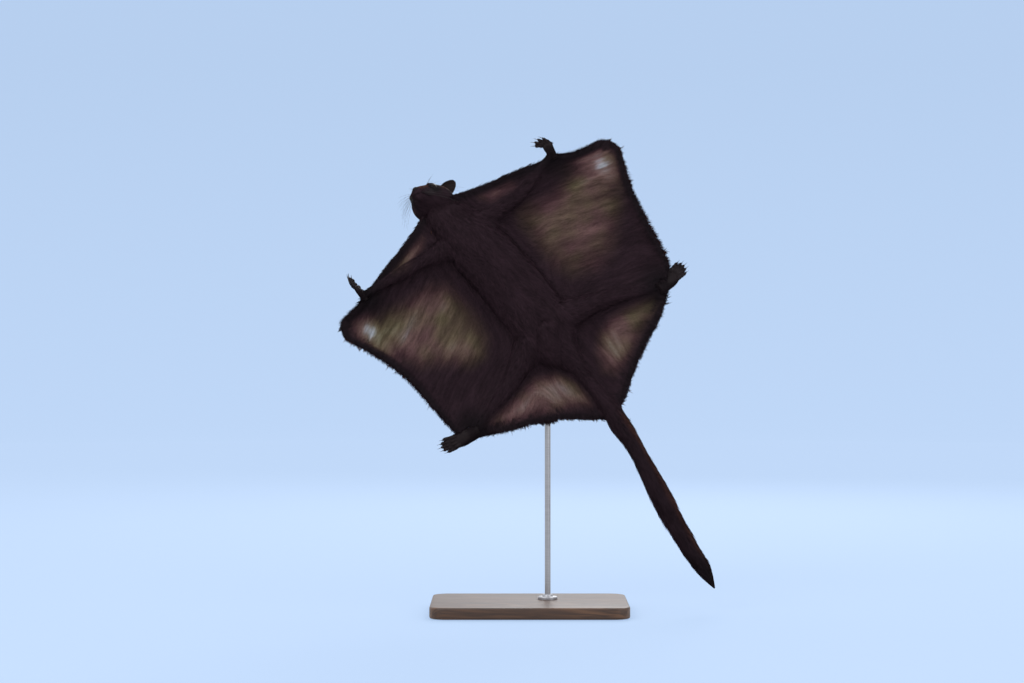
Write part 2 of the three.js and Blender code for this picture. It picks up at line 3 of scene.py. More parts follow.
import bmesh
import bpy
import numpy as np
from mathutils.bvhtree import BVHTree
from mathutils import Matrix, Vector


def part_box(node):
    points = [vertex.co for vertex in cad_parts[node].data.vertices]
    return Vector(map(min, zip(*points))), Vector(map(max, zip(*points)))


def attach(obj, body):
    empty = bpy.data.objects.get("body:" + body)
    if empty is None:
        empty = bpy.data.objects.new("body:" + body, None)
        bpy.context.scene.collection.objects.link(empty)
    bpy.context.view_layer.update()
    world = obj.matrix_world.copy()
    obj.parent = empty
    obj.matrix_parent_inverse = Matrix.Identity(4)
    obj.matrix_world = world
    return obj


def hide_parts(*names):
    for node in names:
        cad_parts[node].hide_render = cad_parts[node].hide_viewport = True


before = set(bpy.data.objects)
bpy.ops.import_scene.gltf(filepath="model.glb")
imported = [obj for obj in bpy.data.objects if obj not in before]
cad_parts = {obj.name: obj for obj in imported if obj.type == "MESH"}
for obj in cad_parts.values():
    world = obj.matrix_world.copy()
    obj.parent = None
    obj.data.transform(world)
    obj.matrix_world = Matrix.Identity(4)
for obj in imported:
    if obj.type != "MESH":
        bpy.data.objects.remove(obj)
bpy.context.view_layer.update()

MM = 0.001
CLIMB = math.radians(48.4)
BODY_CENTRE = np.array([-0.030, 0.0, 0.540])
ANIMAL_AXES = np.array([
    [-math.cos(CLIMB), 0, math.sin(CLIMB)],
    [math.sin(CLIMB), 0, math.cos(CLIMB)],
    [0, 1, 0],
])

# Trunk's middle and tail, as rows of [forward, left, back, half width, height above, depth below].
SPINE = [[206, 8], [154, 13], [70, 17], [-30, 14], [-104, 7], [-182, 6], [-254, 2]]
TAIL_BASE = [
    [-146, 6, 0, 18, 16, 14], [-182, 6, 0, 14, 13, 12], [-218, 5, 0, 13.5, 12.5, 12.5],
    [-254, 2.5, 0, 17, 14.5, 14.5], [-290, -4, 0, 15.5, 13.5, 13.5],
]
TAIL_COAT = [
    [-212, 5, 0, 14.5, 13.5, 13.5], [-248, 2.5, 0, 17.5, 15, 15], [-284, -3.5, 0, 18, 15.5, 15.5],
    [-320, -7, -1, 15.4, 14.4, 14.4], [-356, -15.5, -2.5, 15, 14.8, 14.8], [-392, -25, -3.5, 18, 17, 17],
    [-428, -34, -4, 19, 17, 17], [-464, -42.5, -3.5, 18.5, 17, 17], [-500, -51, -2, 17.5, 16, 16],
    [-536, -57.5, 1, 16, 15, 15], [-572, -62, 6, 13, 11, 11], [-608, -69.5, 10, 0.8, 0.8, 0.8],
]
TAIL_CORE = 0.56

# Wrists and ankles, and how the hands and feet are turned.
PAWS = {
    "hand_left": {"place": [142, 219, -4], "forward": [0.98, 0.19, -0.12], "up": [0, 0.45, 0.9], "bend": -46},
    "hand_right": {"place": [176, -188, -4], "forward": [1, 0.05, -0.1], "up": [0, -0.97, 0.25], "bend": 0},
    "foot_left": {"place": [-155, 208, -5], "forward": [0.02, 0.82, 0.5], "up": [0, -0.5, 0.86], "bend": 0},
    "foot_right": {"place": [-128, -199, -5], "forward": [0.25, -0.97, 0.12], "up": [0, 0, 1], "bend": 6},
}
PALM = {"length": 21, "width": 9, "thick": 4.6, "heel": 6.4}
SOLE = {"length": 50, "width": 12.8, "thick": 6.2, "heel": 9.8}
FINGERS = {"turn": [-14, -4, 6, 16], "length": [15, 19, 18.5, 14.5], "radius": 2.3}
TOES = {"turn": [-6, -3, 0, 3, 6], "length": [12, 16.5, 17, 16, 11], "radius": 2.7}
CLAW = {"length": 8, "radius": 1.9, "hook": 4.2}

# Free edges of the membranes. Each runs outward or back.
EDGES = {
    "left": {
        "lead": [[208, 38, 0], [193, 70, -5], [179, 104.4, -7], [164.5, 148.5, -8], [148.5, 191, -6],
                 [142, 214, -4]],
        "wing": [[142, 214, -4], [125.5, 244, 3], [116, 268.7, 10], [110.5, 292, 17], [103.5, 305, 20]],
        "side": [[103.5, 305, 20], [85, 316, 22], [60.5, 312.5, 21], [21, 290.5, 15], [-30, 275, 8],
                 [-81, 260.5, 1], [-130, 248.5, -4], [-148, 229, -5]],
        "trail": [[-272, 5, 0], [-256, 37, 2], [-233, 79, 4], [-213, 123, 4], [-193.5, 172.5, 1],
                  [-169, 214, -4]],
    },
    "right": {
        "lead": [[212, -25, 0], [204, -48, -4], [196.5, -80, -7], [190, -114, -8], [183.5, -150, -6],
                 [176, -186, -4]],
        "wing": [[176, -186, -4], [172, -204, 2], [171.5, -222, 8], [172, -239, 14], [167, -251.5, 17]],
        "side": [[167, -251.5, 17], [152, -260, 19], [133, -262, 19], [99, -248.5, 14], [47, -232.3, 7],
                 [-10, -227, 1], [-62, -228.5, -4], [-105, -228, -5]],
        "trail": [[-272, -5, 0], [-251.7, -30.5, 2], [-220.5, -64, 4], [-191.5, -106.5, 4],
                  [-165.5, -157.5, 0], [-135, -211, -4]],
    },
}
EDGE_STEPS = 24
# A place between the membranes, to tell outward from inward.
BODY_MIDDLE = np.array([0.0, 10.0])

# Painted backlight, where light comes through the membranes so that they look paler: how much, and the outline
# in their plane.
PAINTED_BACKLIGHT = {
    "left_side": (0.95, [
        [59, 288], [34, 278], [-3, 258], [-35, 224], [-60, 187], [-68, 142], [-42, 98], [-6, 83],
        [40, 88], [88, 92], [112, 104], [112, 126], [96, 173], [103, 225], [92, 268]]),
    "right_side": (1.08, [
        [138, -228], [136, -208], [138, -174], [126, -136], [118, -84], [97, -60], [57, -58], [16, -60],
        [-21, -68], [-46, -96], [-42, -133], [-8, -165], [15, -199], [55, -213], [98, -230]]),
    "left_tail": (0.98, [
        [-161, 202], [-175, 179], [-183, 139], [-203, 93], [-215, 49], [-196, 34], [-163, 48],
        [-143, 73], [-136, 104], [-144, 144]]),
    "right_tail": (1.12, [
        [-130, -180], [-132, -150], [-130, -106], [-127, -62], [-147, -27], [-179, -10], [-212, -12],
        [-224, -18], [-203, -50], [-178, -95], [-154, -143]]),
    "left_lead": (0.8, [[170, 76], [165, 100], [155, 132], [145, 131], [152, 88]]),
    "right_lead": (1.0, [[171, -117], [178, -86], [183, -44], [173, -53], [163, -96]]),
}
# How far inside its outline a place of painted backlight reaches full strength, by the part of the membrane.
PAINTED_BACKLIGHT_SOFTNESS = {"lead": 12, "tail": 22, "side": 40}
# Painted glow of light through the membranes near the wing tips: where, how wide, how strong.
PAINTED_TIP_GLOW = [[70, 270, 28, 1.0], [86, 262, 36, 0.66], [121, -218, 22, 1.1], [98, -216, 30, 0.75]]

# Head in its own frame: nose tip at x = 0, the back of the head at negative x, z up to the crown.
HEAD_PLACE = np.array([251.0, 0.7, -27.0])
HEAD_FORWARD = [0.63, -0.135, -0.765]
HEAD_UP = [0.736, 0.419, 0.532]
SKULL = [
    [2.2, 0, -0.5, 0.6, 0.6, 0.6], [0.5, 0, -0.5, 5.8, 5.4, 6.2], [-3.4, 0, -1, 10, 8.6, 9.6],
    [-8.7, 0, -1, 14, 12.2, 12.4], [-16.4, 0, -0.5, 18.3, 16.4, 15], [-25, 0, 0.5, 24, 20.4, 18],
    [-34.7, 0, 1.5, 30.5, 23.6, 21.5], [-45.4, 0, 1.5, 36.5, 25.6, 24.5], [-56, 0, 0.5, 39, 26, 26],
    [-66.6, 0, -1, 37.5, 25, 25.5], [-76, 0, -2, 32.5, 22, 22], [-83, 0, -3, 20.5, 14, 14],
]
# 2 is a round cross-section, and more is a squarer one.
SKULL_SQUARENESS = 2.15
EYE = {"place": [-27, 19.9, 8.2], "radius": 7.4, "facing": [0.42, 0.86, 0.28], "lid": 1.5,
       "open": [1.03, 0.88]}
EAR = {"place": [-59, 21, 13], "height": 38, "width": 12, "thick": 1.8, "up": [-0.48, 0.463, 0.733],
       "facing": [0.51, 0.86, 0.05], "cup": 7}
BROW = {"place": [-29, 17.5, 14.5], "size": [11, 6, 5]}
WHISKER_PAD = {"place": [-9.5, 6.6, -4.2], "size": [9, 7.4, 6.4]}
CHIN = {"place": [-13, 0, -10.8], "size": [9.5, 8, 5.5]}
NOSE = {"place": [-0.3, 0, 2.2], "size": [2.8, 4.3, 3.2]}
NOSTRIL = {"place": [2.2, 2.5, 1.7], "size": [3.2, 1.2, 1.5], "slit": [0.6, 4.1, 1.1]}

FLESH = ["head", "neck", "torso", "tail_base"] + [
    part + "_" + side for side in ("left", "right")
    for part in ("upper_arm", "forearm", "thigh", "shank", "propatagium", "patagium", "uropatagium")
]
ROD = {"x": 32, "radius": 5, "top": 488}
SWELL = 0.45
VOXEL = 1.9
FACE_START = -50.0
HEAD_START = -84.0
RIM_PULL = {"lead": 2.5, "wing": 5.0, "side": 6.0, "trail": 7.0}
RIM_REACH = 26.0
# Rounds that spread what is seen from above into hidden places, and rounds that then soften it all.
SPREAD_ROUNDS = 40
SOFTEN_ROUNDS = 4

# Length of the head's coat, by how far back from the nose it grows, and how deep it stands as a share.
FACE_COAT = {"x": [-88, -60, -40, -22, -10, -2, 3], "length": [11, 8.5, 6.0, 3.6, 2.4, 1.6, 1.2]}
FACE_DEPTH = 0.13
# A tuft's own patch in the unwrap of the skin that it grows on.
TUFT_PATCH = 0.003
# Pieces of the lying coat: how many tufts, and their length and width as shares of the field's.
COATS = {
    "back": {"count": 36000, "length": 1.15, "width": 1.15, "steps": 4},
    "belly": {"count": 36000, "length": 1.0, "width": 1.1, "steps": 4},
    "web_back": {"count": 34000, "length": 1.3, "width": 0.95},
    "web_belly": {"count": 34000, "length": 1.1, "width": 0.75},
    "head": {"count": 56000, "length": 1.0, "width": 0.6},
    "hand": {"count": 2600, "length": 1.0, "width": 0.75, "stray": 0.2},
    "foot": {"count": 3600, "length": 1.0, "width": 0.75, "stray": 0.2},
    "ear": {"count": 3200, "length": 0.8, "width": 0.6, "stray": 0.2},
}
# The furred edges: tufts for each millimetre, how far in they root, and how far and which way they run past.
FRINGE = {
    "lead": {"per_mm": 16, "inset": [2, 9], "start": -1.4, "past": 0.0, "flow": 1.6},
    "wing": {"per_mm": 20, "inset": [6, 16], "start": -1.8, "past": 0.3, "flow": 1.1},
    "side": {"per_mm": 20, "inset": [6, 24], "start": -2.2, "past": 0.9, "flow": 0.55},
    "trail": {"per_mm": 20, "inset": [6, 24], "start": -0.6, "past": 1.2, "flow": 0.3},
}

# Sides of the stand's round pieces.
TURNED_SIDES = 64

# The studio: the camera at the photograph's angle, and the lamps as name, place, size and power.
CAMERA = {"place": (-0.030, -4.0, 0.468), "lens": 81.3, "sensor": 36}
LAMPS = [
    ("key", (-1.9, -2.6, 2.6), 1.8, 34), ("fill", (2.4, -2.0, 1.1), 2.0, 10),
    ("behind", (0.6, 2.8, 2.2), 1.6, 34),
]


def unit(rows):
    rows = np.asarray(rows, float)
    return rows / np.maximum(np.linalg.norm(rows, axis=-1, keepdims=True), 1e-12)


def smooth(value, low, high):
    """0 at low, 1 at high, and a smooth way between."""
    share = np.clip((value - low) / (high - low), 0, 1)
    return share * share * (3 - 2 * share)


def mix(a, b, share):
    return a + (b - a) * share


def to_room(rows):
    return BODY_CENTRE + MM * (np.asarray(rows, float) @ ANIMAL_AXES)


def to_animal(room_points):
    return (room_points - BODY_CENTRE) @ ANIMAL_AXES.T / MM


def axes_of(forward, upward):
    """The rows x, y and z of a frame with x along forward and z near upward."""
    x = unit(forward)
    z = unit(np.asarray(upward, float) - x * np.dot(upward, x))
    return np.array([x, np.cross(z, x), z])


HEAD_AXES = axes_of(HEAD_FORWARD, HEAD_UP)


def head_to_animal(rows):
    return HEAD_PLACE + np.asarray(rows, float) @ HEAD_AXES


def animal_to_head(points):
    return (points - HEAD_PLACE) @ HEAD_AXES.T


def mirrored(row, side):
    return np.array([row[0], row[1] * side, row[2]], float)


def along(rows, t):
    """The smooth curve through rows of numbers, at each t from 0 to 1."""
    rows = np.asarray(rows, float)
    t = np.atleast_1d(np.asarray(t, float))
    last = len(rows) - 1
    i = np.clip((t * last).astype(int), 0, last - 1)
    f = (t * last - i)[:, None]
    a, b, c, d = (rows[np.clip(i + k, 0, last)] for k in (-1, 0, 1, 2))
    return 0.5 * (2 * b + (c - a) * f + (2 * a - 5 * b + 4 * c - d) * f**2 + (3 * b - a - 3 * c + d) * f**3)


def on_body(rows, t, angle, out=1.0):
    """Points round a body of rows, at out times its size, with its direction and their outward vector."""
    row = along(rows, t)
    ahead = along(rows, np.minimum(t + 0.01, 1))[:, :3]
    direction = unit(ahead - along(rows, np.maximum(t - 0.01, 0))[:, :3])
    side = unit(np.cross([0, 0, 1], direction))
    back = np.cross(direction, side)
    tall = np.where(np.sin(angle) > 0, row[:, 4], row[:, 5]) * np.sin(angle)
    outward = side * (row[:, 3] * np.cos(angle))[:, None] + back * tall[:, None]
    return row[:, :3] + outward * np.asarray(out).reshape(-1, 1), direction, outward


def ring_faces(rings, sides, looped=False):
    """The faces between rings of points. Looped joins the last ring to the first."""
    return [
        (r * sides + k, r * sides + (k + 1) % sides,
         (r + 1) % rings * sides + (k + 1) % sides, (r + 1) % rings * sides + k)
        for r in range(rings if looped else rings - 1) for k in range(sides)
    ]


def closed_faces(rings, sides):
    """The faces between rings of points, with a cap at each end."""
    last = (rings - 1) * sides
    return ring_faces(rings, sides) + [tuple(range(sides))[::-1], tuple(last + k for k in range(sides))]


def tube(rows, sides, steps):
    """A closed form through rows, as points and faces."""
    t = np.repeat(np.linspace(0, 1, steps + 1), sides)
    angle = np.tile(2 * np.pi * np.arange(sides) / sides, steps + 1)
    return on_body(rows, t, angle)[0], closed_faces(steps + 1, sides)


def ball(centre, size, sides=20, steps=12):
    """A closed ellipsoid as points and faces."""
    t = -np.cos(np.pi * np.linspace(0, 1, steps + 1))
    wide = np.sqrt(np.maximum(1 - t**2, 1e-4))
    angle = 2 * np.pi * np.arange(sides) / sides
    points = np.array([[x, w * math.cos(a), w * math.sin(a)] for x, w in zip(t, wide) for a in angle])
    return points * np.asarray(size, float) + np.asarray(centre, float), closed_faces(steps + 1, sides)


def joined(forms):
    """Several forms, each points and faces, as one."""
    points, faces, start = [], [], 0
    for form_points, form_faces in forms:
        points.append(form_points)
        faces += [tuple(start + v for v in face) for face in form_faces]
        start += len(form_points)
    return np.concatenate(points), faces


def numbers(items, name, width=1, kind=float):
    found = np.empty(len(items) * width, kind)
    items.foreach_get(name, found)
    return found.reshape(-1, width) if width > 1 else found


def new_piece(name, room_points, faces, material=None, smooth_shaded=True):
    """A named mesh object in the scene."""
    mesh = bpy.data.meshes.new(name)
    mesh.from_pydata(np.asarray(room_points).tolist(), [], [tuple(int(v) for v in face) for face in faces])
    if smooth_shaded:
        mesh.shade_smooth()
    if material:
        mesh.materials.append(material)
    piece = bpy.data.objects.new(name, mesh)
    bpy.context.scene.collection.objects.link(piece)
    return piece


def apply_modifiers(piece):
    """Turns a piece with modifiers into its plain result."""
    made = bpy.data.meshes.new_from_object(piece.evaluated_get(bpy.context.evaluated_depsgraph_get()))
    old = piece.data
    piece.modifiers.clear()
    piece.data = made
    bpy.data.meshes.remove(old)
    made.name = piece.name


def fused(name, form, voxel):
    """One closed skin round overlapping forms in the animal's frame."""
    piece = new_piece(name, to_room(form[0]), form[1])
    closing = piece.modifiers.new("close", "REMESH")
    closing.mode = "VOXEL"
    closing.voxel_size = voxel * MM
    apply_modifiers(piece)
    return piece


def neighbour_mean(edges, size):
    """A function that turns a number for each point of a mesh into its mean over the point's neighbours."""
    a, b = edges.T
    count = np.maximum(np.bincount(np.concatenate([a, b]), minlength=size), 1)
    return lambda values: (np.bincount(a, values[b], size) + np.bincount(b, values[a], size)) / count


def relaxed(points, edges, rounds, strength=0.6, weight=1.0):
    """Evens a mesh out without shrinking its large forms."""
    mean = neighbour_mean(edges, len(points))
    for _ in range(rounds):
        for step in (strength, -strength - 0.02):
            middle = np.stack([mean(points[:, axis]) for axis in range(3)], 1)
            points = points + (middle - points) * step * weight
    return points


def soft_noise(points, size, seed):
    """Smooth random values from -1 to 1 over points, in cells of this size."""
    table = np.random.default_rng(seed).uniform(-1, 1, 4096)
    cell = np.asarray(points, float) / size
    low = np.floor(cell).astype(np.int64)
    part = cell - low
    part = part * part * (3 - 2 * part)
    total = np.zeros(len(cell))
    for corner in np.ndindex(2, 2, 2):
        at = low + corner
        key = (at[:, 0] * 73856093 ^ at[:, 1] * 19349663 ^ at[:, 2] * 83492791) & 4095
        total += np.prod(np.where(np.array(corner) == 1, part, 1 - part), axis=1) * table[key]
    return total


def nearest_on_line(plane, line):
    """For each point of the plane, its distance to a broken line, the vector from it, and the nearest piece."""
    a = line[:-1]
    run = line[1:] - a
    share = np.clip(((plane[:, None] - a) * run).sum(2) / (run**2).sum(1), 0, 1)
    gap = plane[:, None] - (a + share[..., None] * run)
    distance = np.linalg.norm(gap, axis=2)
    nearest = distance.argmin(1)
    rows = np.arange(len(plane))
    return distance[rows, nearest], gap[rows, nearest], nearest


def free_edge(plane):
    """Distance to a membrane's nearest free edge, the way inward from it, and how far to pull the rim in."""
    best = np.full(len(plane), 1e9)
    inward = np.zeros((len(plane), 2))
    pull = np.zeros(len(plane))
    for edges in EDGES.values():
        for kind, rows in edges.items():
            line = along(rows, np.linspace(0, 1, EDGE_STEPS + 1))[:, :2]
            distance, _, nearest = nearest_on_line(plane, line)
            run = unit(line[1:] - line[:-1])
            normal = np.stack([-run[:, 1], run[:, 0]], 1)
            home = BODY_MIDDLE - line[:-1]
            normal *= np.sign((normal * home).sum(1))[:, None]
            closer = distance < best
            best = np.where(closer, distance, best)
            inward[closer] = normal[nearest[closer]]
            pull[closer] = RIM_PULL[kind]
    return best, inward, pull


def inside_by(plane, outline):
    """How far each point of the plane is inside a closed outline, or outside it as a negative number."""
    outline = np.asarray(outline, float)
    ring = np.vstack([outline, outline[:1]])
    distance = nearest_on_line(plane, ring)[0]
    inside = np.zeros(len(plane), bool)
    x, y = plane.T
    for (ax, ay), (bx, by) in zip(ring[:-1], ring[1:]):
        if ay != by:
            inside ^= ((ay > y) != (by > y)) & (x < (bx - ax) * (y - ay) / (by - ay) + ax)
    return np.where(inside, distance, -distance)


# The head's form, as a distance in millimetres that is negative inside.
def ellipsoid_field(points, centre, size):
    q = (points - np.asarray(centre, float)) / np.asarray(size, float)
    near = np.linalg.norm(q, axis=1)
    return near * (near - 1) / np.maximum(np.linalg.norm(q / size, axis=1), 1e-9)


def blend_in(a, b, width):
    """The union of two fields, with a soft fillet where they meet."""
    share = np.clip(0.5 + 0.5 * (b - a) / width, 0, 1)
    return mix(b, a, share) - width * share * (1 - share)


def carve(a, b, width):
    return -blend_in(-a, b, width)


def skull_field(points):
    table = along(SKULL, np.linspace(0, 1, 240))[::-1]
    middle, wide, above, below = (np.interp(points[:, 0], table[:, 0], table[:, k]) for k in (2, 3, 4, 5))
    y, z = points[:, 1], points[:, 2] - middle
    tall = np.where(z > 0, above, below)
    power = SKULL_SQUARENESS
    ratio = ((np.abs(y) / wide)**power + (np.abs(z) / tall)**power)**(1 / power)
    return np.hypot(y, z) * (1 - 1 / np.maximum(ratio, 1e-3))


def mouth_line(points, width):
    """1 along the closed lips, fading to 0 over this width."""
    lips = -8.2 - 0.0045 * points[:, 0]**2
    return np.exp(-((points[:, 2] - lips) / width)**2) * smooth(points[:, 0], -26, -18)


def eye_angles(points, side):
    """Distance from an eye's middle, and how far off its axis a point is, as a share of the lids' opening."""
    axes = axes_of(mirrored(EYE["facing"], side), [0, 0, 1])
    local = (points - mirrored(EYE["place"], side)) @ axes.T
    distance = np.linalg.norm(local, axis=1)
    wide, tall = EYE["open"]
    across = np.arctan2(local[:, 1], local[:, 0]) / wide
    up = np.arctan2(local[:, 2], np.hypot(local[:, 0], local[:, 1])) / tall
    return distance, np.hypot(across, up)


def off_eyes(points):
    """0 on the lids and 1 away from them."""
    nearest = np.minimum(eye_angles(points, -1)[0], eye_angles(points, 1)[0])
    return smooth(nearest, EYE["radius"] + 1.5, EYE["radius"] + 6)


def head_field(points):
    """The furred head without its eyes and ears: skull, pads, chin, nose, lids and mouth."""
    x, y, z = points.T
    form = skull_field(points)
    radius, lid = EYE["radius"], EYE["lid"]
    for side in (-1, 1):
        for pad, width in ((WHISKER_PAD, 3.5), (BROW, 5)):
            form = blend_in(form, ellipsoid_field(points, mirrored(pad["place"], side), pad["size"]), width)
    form = blend_in(form, ellipsoid_field(points, CHIN["place"], CHIN["size"]), 3)
    form += 1.7 * mouth_line(points, 0.8)
    form += 0.8 * np.exp(-(y / 0.6)**2) * smooth(z, -9, -7.5) * smooth(-z, 0.5, 2) * smooth(x, -5, -1)
    form = blend_in(form, ellipsoid_field(points, NOSE["place"], NOSE["size"]), 1)
    for side in (-1, 1):
        distance, opening = eye_angles(points, side)
        shell = np.maximum(distance - radius - lid, (0.94 - opening) * radius * 0.85)
        form = blend_in(form, shell, 1.6)
        form = np.minimum(np.maximum(form, radius + 0.15 - distance), distance - radius + 1.2)
    return form


def nose_field(points):
    """The bare nose: two wings, a bridge between them, comma-shaped nostrils and the groove below."""
    y, z = points[:, 1], points[:, 2]
    form = ellipsoid_field(points, NOSE["place"], np.array(NOSE["size"]) + 0.5)
    wing_place = NOSE["place"] + np.array([0.6, 2.4, -0.4])
    for side in (-1, 1):
        wing = ellipsoid_field(points, mirrored(wing_place, side), [2.8, 2.5, 2.7])
        form = blend_in(form, wing, 0.8)
    for side in (-1, 1):
        hole = ellipsoid_field(points, mirrored(NOSTRIL["place"], side), NOSTRIL["size"])
        slit = ellipsoid_field(points, mirrored(NOSTRIL["slit"], side), [3.0, 1.6, 0.6])
        form = carve(form, blend_in(hole, slit, 0.4), 0.35)
    return form + 0.5 * np.exp(-(y / 0.35)**2) * smooth(-z, -2.6, -1.2)


def settle(points, depth, field, rounds=7):
    """Moves points onto a field's zero, drawn in by depth."""
    step = 0.05
    for _ in range(rounds):
        value = field(points)
        slope = np.stack([
            (field(points + step * axis) - field(points - step * axis)) / (2 * step) for axis in np.eye(3)
        ], 1)
        size = np.maximum((slope**2).sum(1), 0.25)
        points = points - slope * (np.clip(value + depth, -3, 3) * 0.8 / size)[:, None]
    return points


def face_length(x):
    """Length of the head's coat at each x."""
    return np.interp(x, FACE_COAT["x"], FACE_COAT["length"])


def node_form(name):
    """A node's shape as one welded form, swollen a little so that it meets its neighbours."""
    part = bmesh.new()
    part.from_mesh(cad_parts[name].data)
    bmesh.ops.remove_doubles(part, verts=part.verts, dist=1e-6)
    part.normal_update()
    points = np.array([v.co + v.normal * SWELL * MM for v in part.verts])
    faces = [tuple(v.index for v in face.verts) for face in part.faces]
    part.free()
    return to_animal(points), faces


def refine(piece, start):
    """Splits the faces of a skin in two each way where the head's x is past start."""
    fine = bmesh.new()
    fine.from_mesh(piece.data)
    x = animal_to_head(to_animal(numbers(piece.data.vertices, "co", 3)))
    near = np.abs(head_field(x)) < 7
    chosen = (x[:, 0] > start) & near
    edges = [e for e in fine.edges if chosen[e.verts[0].index] and chosen[e.verts[1].index]]
    bmesh.ops.subdivide_edges(fine, edges=edges, cuts=1, use_grid_fill=True)
    fine.to_mesh(piece.data)
    fine.free()


def put_points(piece, points):
    piece.data.vertices.foreach_set("co", to_room(points).ravel())
    piece.data.update()


def points_of(piece):
    return to_animal(numbers(piece.data.vertices, "co", 3))


def normals_of(piece):
    return numbers(piece.data.vertex_normals, "vector", 3) @ ANIMAL_AXES.T


def tree_of(points, triangles):
    return BVHTree.FromPolygons(points.tolist(), triangles.tolist(), all_triangles=True)


def triangles_of(mesh):
    mesh.calc_loop_triangles()
    return numbers(mesh.loop_triangles, "vertices", 3, np.int32)


def thickness_of(points, normals, tree):
    """How thick the flesh is under each point."""
    found = np.full(len(points), 80.0)
    for i, (p, n) in enumerate(zip((points - normals * 0.1).tolist(), (-normals).tolist())):
        distance = tree.ray_cast(p, n, 80.0)[3]
        if distance is not None:
            found[i] = distance
    return found


def filleted(points, normals, edges, rounds, amount):
    """Fills hollows, such as those between a limb and its membrane, and leaves the rest alone."""
    mean = neighbour_mean(edges, len(points))
    soft = points.copy()
    for _ in range(rounds):
        for axis in range(3):
            soft[:, axis] += 0.5 * (mean(soft[:, axis]) - soft[:, axis])
    lift = np.maximum(((soft - points) * normals).sum(1), 0) * amount
    return points + normals * lift[:, None]


def off_rod(points):
    """0 where the rod's upper end is under the skin, and 1 away from it."""
    x, _, z = (to_room(points) / MM).T
    away = np.hypot(x - ROD["x"], np.maximum(z - ROD["top"], 0))
    return smooth(away, ROD["radius"] + 2, ROD["radius"] + 16)


def coat_depth(thick):
    """How deep the coat stands over flesh of this thickness."""
    return np.clip(0.12 * thick, 0.7, 3.4)


def skin_piece():
    """One skin over the whole animal, drawn in by its coat's depth, how thick its flesh is, and its head."""
    core = [row[:3] + [size * TAIL_CORE for size in row[3:]] for row in TAIL_COAT]
    eyes = [node_form("eye_left"), node_form("eye_right")]
    forms = [node_form(name) for name in FLESH] + eyes + [tube(core, 20, 80)]
    skin = fused("skin", joined(forms), VOXEL)
    edges = numbers(skin.data.edges, "vertices", 2, np.int32)
    put_points(skin, relaxed(points_of(skin), edges, 14))
    for amount in (1.0, 0.8):
        points = points_of(skin)
        off_face = 1 - smooth(animal_to_head(points)[:, 0], -80, -62)
        put_points(skin, filleted(points, normals_of(skin), edges, 50, amount * off_face))
    refine(skin, HEAD_START)
    refine(skin, FACE_START)

    points = points_of(skin)
    local = animal_to_head(points)
    length = face_length(local[:, 0])
    on_head = smooth(local[:, 0], HEAD_START, HEAD_START + 16) * (np.abs(head_field(local)) < 8)
    settled = head_to_animal(settle(local, FACE_DEPTH * length * off_eyes(local), head_field))
    points = mix(points, settled, on_head[:, None])
    edges = numbers(skin.data.edges, "vertices", 2, np.int32)
    seam = smooth(local[:, 0], HEAD_START - 14, HEAD_START) * (1 - smooth(local[:, 0], -66, -56))
    points = relaxed(points, edges, 6, weight=seam[:, None])
    put_points(skin, points)

    normals = normals_of(skin)
    thick = thickness_of(points, normals, tree_of(points, triangles_of(skin.data)))
    thick = relaxed(np.repeat(thick[:, None], 3, 1), edges, 3, strength=0.5)[:, 0]
    thick = np.where(on_head > 0.5, 60, thick)
    depth = coat_depth(thick) * (1 - on_head) * mix(-0.9, 1, off_rod(points))
    points = points - normals * depth[:, None]

    rim, inward, pull = free_edge(points[:, :2])
    web = 1 - smooth(thick, 9, 16)
    shift = pull * web * (1 - smooth(rim, 0, RIM_REACH))
    for paw in PAWS.values():
        shift *= smooth(np.linalg.norm(points - paw["place"], axis=1), 8, 26)
    points[:, :2] += inward * shift[:, None]
    points[:, 2] += wrinkles(points) * (1 - smooth(thick, 5, 12)) * smooth(rim, 6, 26)
    put_points(skin, points)
    return skin, thick, on_head


def off_middle(points):
    """How far to the left of the trunk's middle each point is."""
    return points[:, 1] - np.interp(points[:, 0], *np.array(SPINE[::-1]).T)


def lie_places(points):
    """Where a point is along and across the lie of the coat."""
    off = off_middle(points)
    out = smooth(np.abs(off), 45, 95)
    across = mix(off, points[:, 0] + 0.4 * np.abs(off), out)
    return np.stack([mix(-points[:, 0], np.abs(off), out), across, points[:, 2]], 1)


def wrinkles(points):
    """Soft folds of the stretched membrane, running outward."""
    lie = lie_places(points)
    flat = np.stack([lie[:, 0] * 0.16, lie[:, 1], np.zeros(len(lie))], 1)
    return 1.1 * soft_noise(flat, 11, 3) + 0.5 * soft_noise(flat, 5, 4)


def seen_from_above(points, normals, edges, tree):
    """1 at points of the skin that only the back's side sees, 0 at those that the belly's side sees."""
    starts = (points + 0.4 * normals).tolist()
    open_above, open_below = (
        np.array([tree.ray_cast(start, (0, 0, way))[0] is None for start in starts]) for way in (1.0, -1.0)
    )
    known = open_above != open_below
    seen = np.where(known, open_above * 1.0, 0.5 * (normals[:, 2] > 0))
    mean = neighbour_mean(edges, len(points))
    for step in range(SPREAD_ROUNDS + SOFTEN_ROUNDS):
        seen = np.where(known & (step < SPREAD_ROUNDS), seen, mean(seen))
    return seen


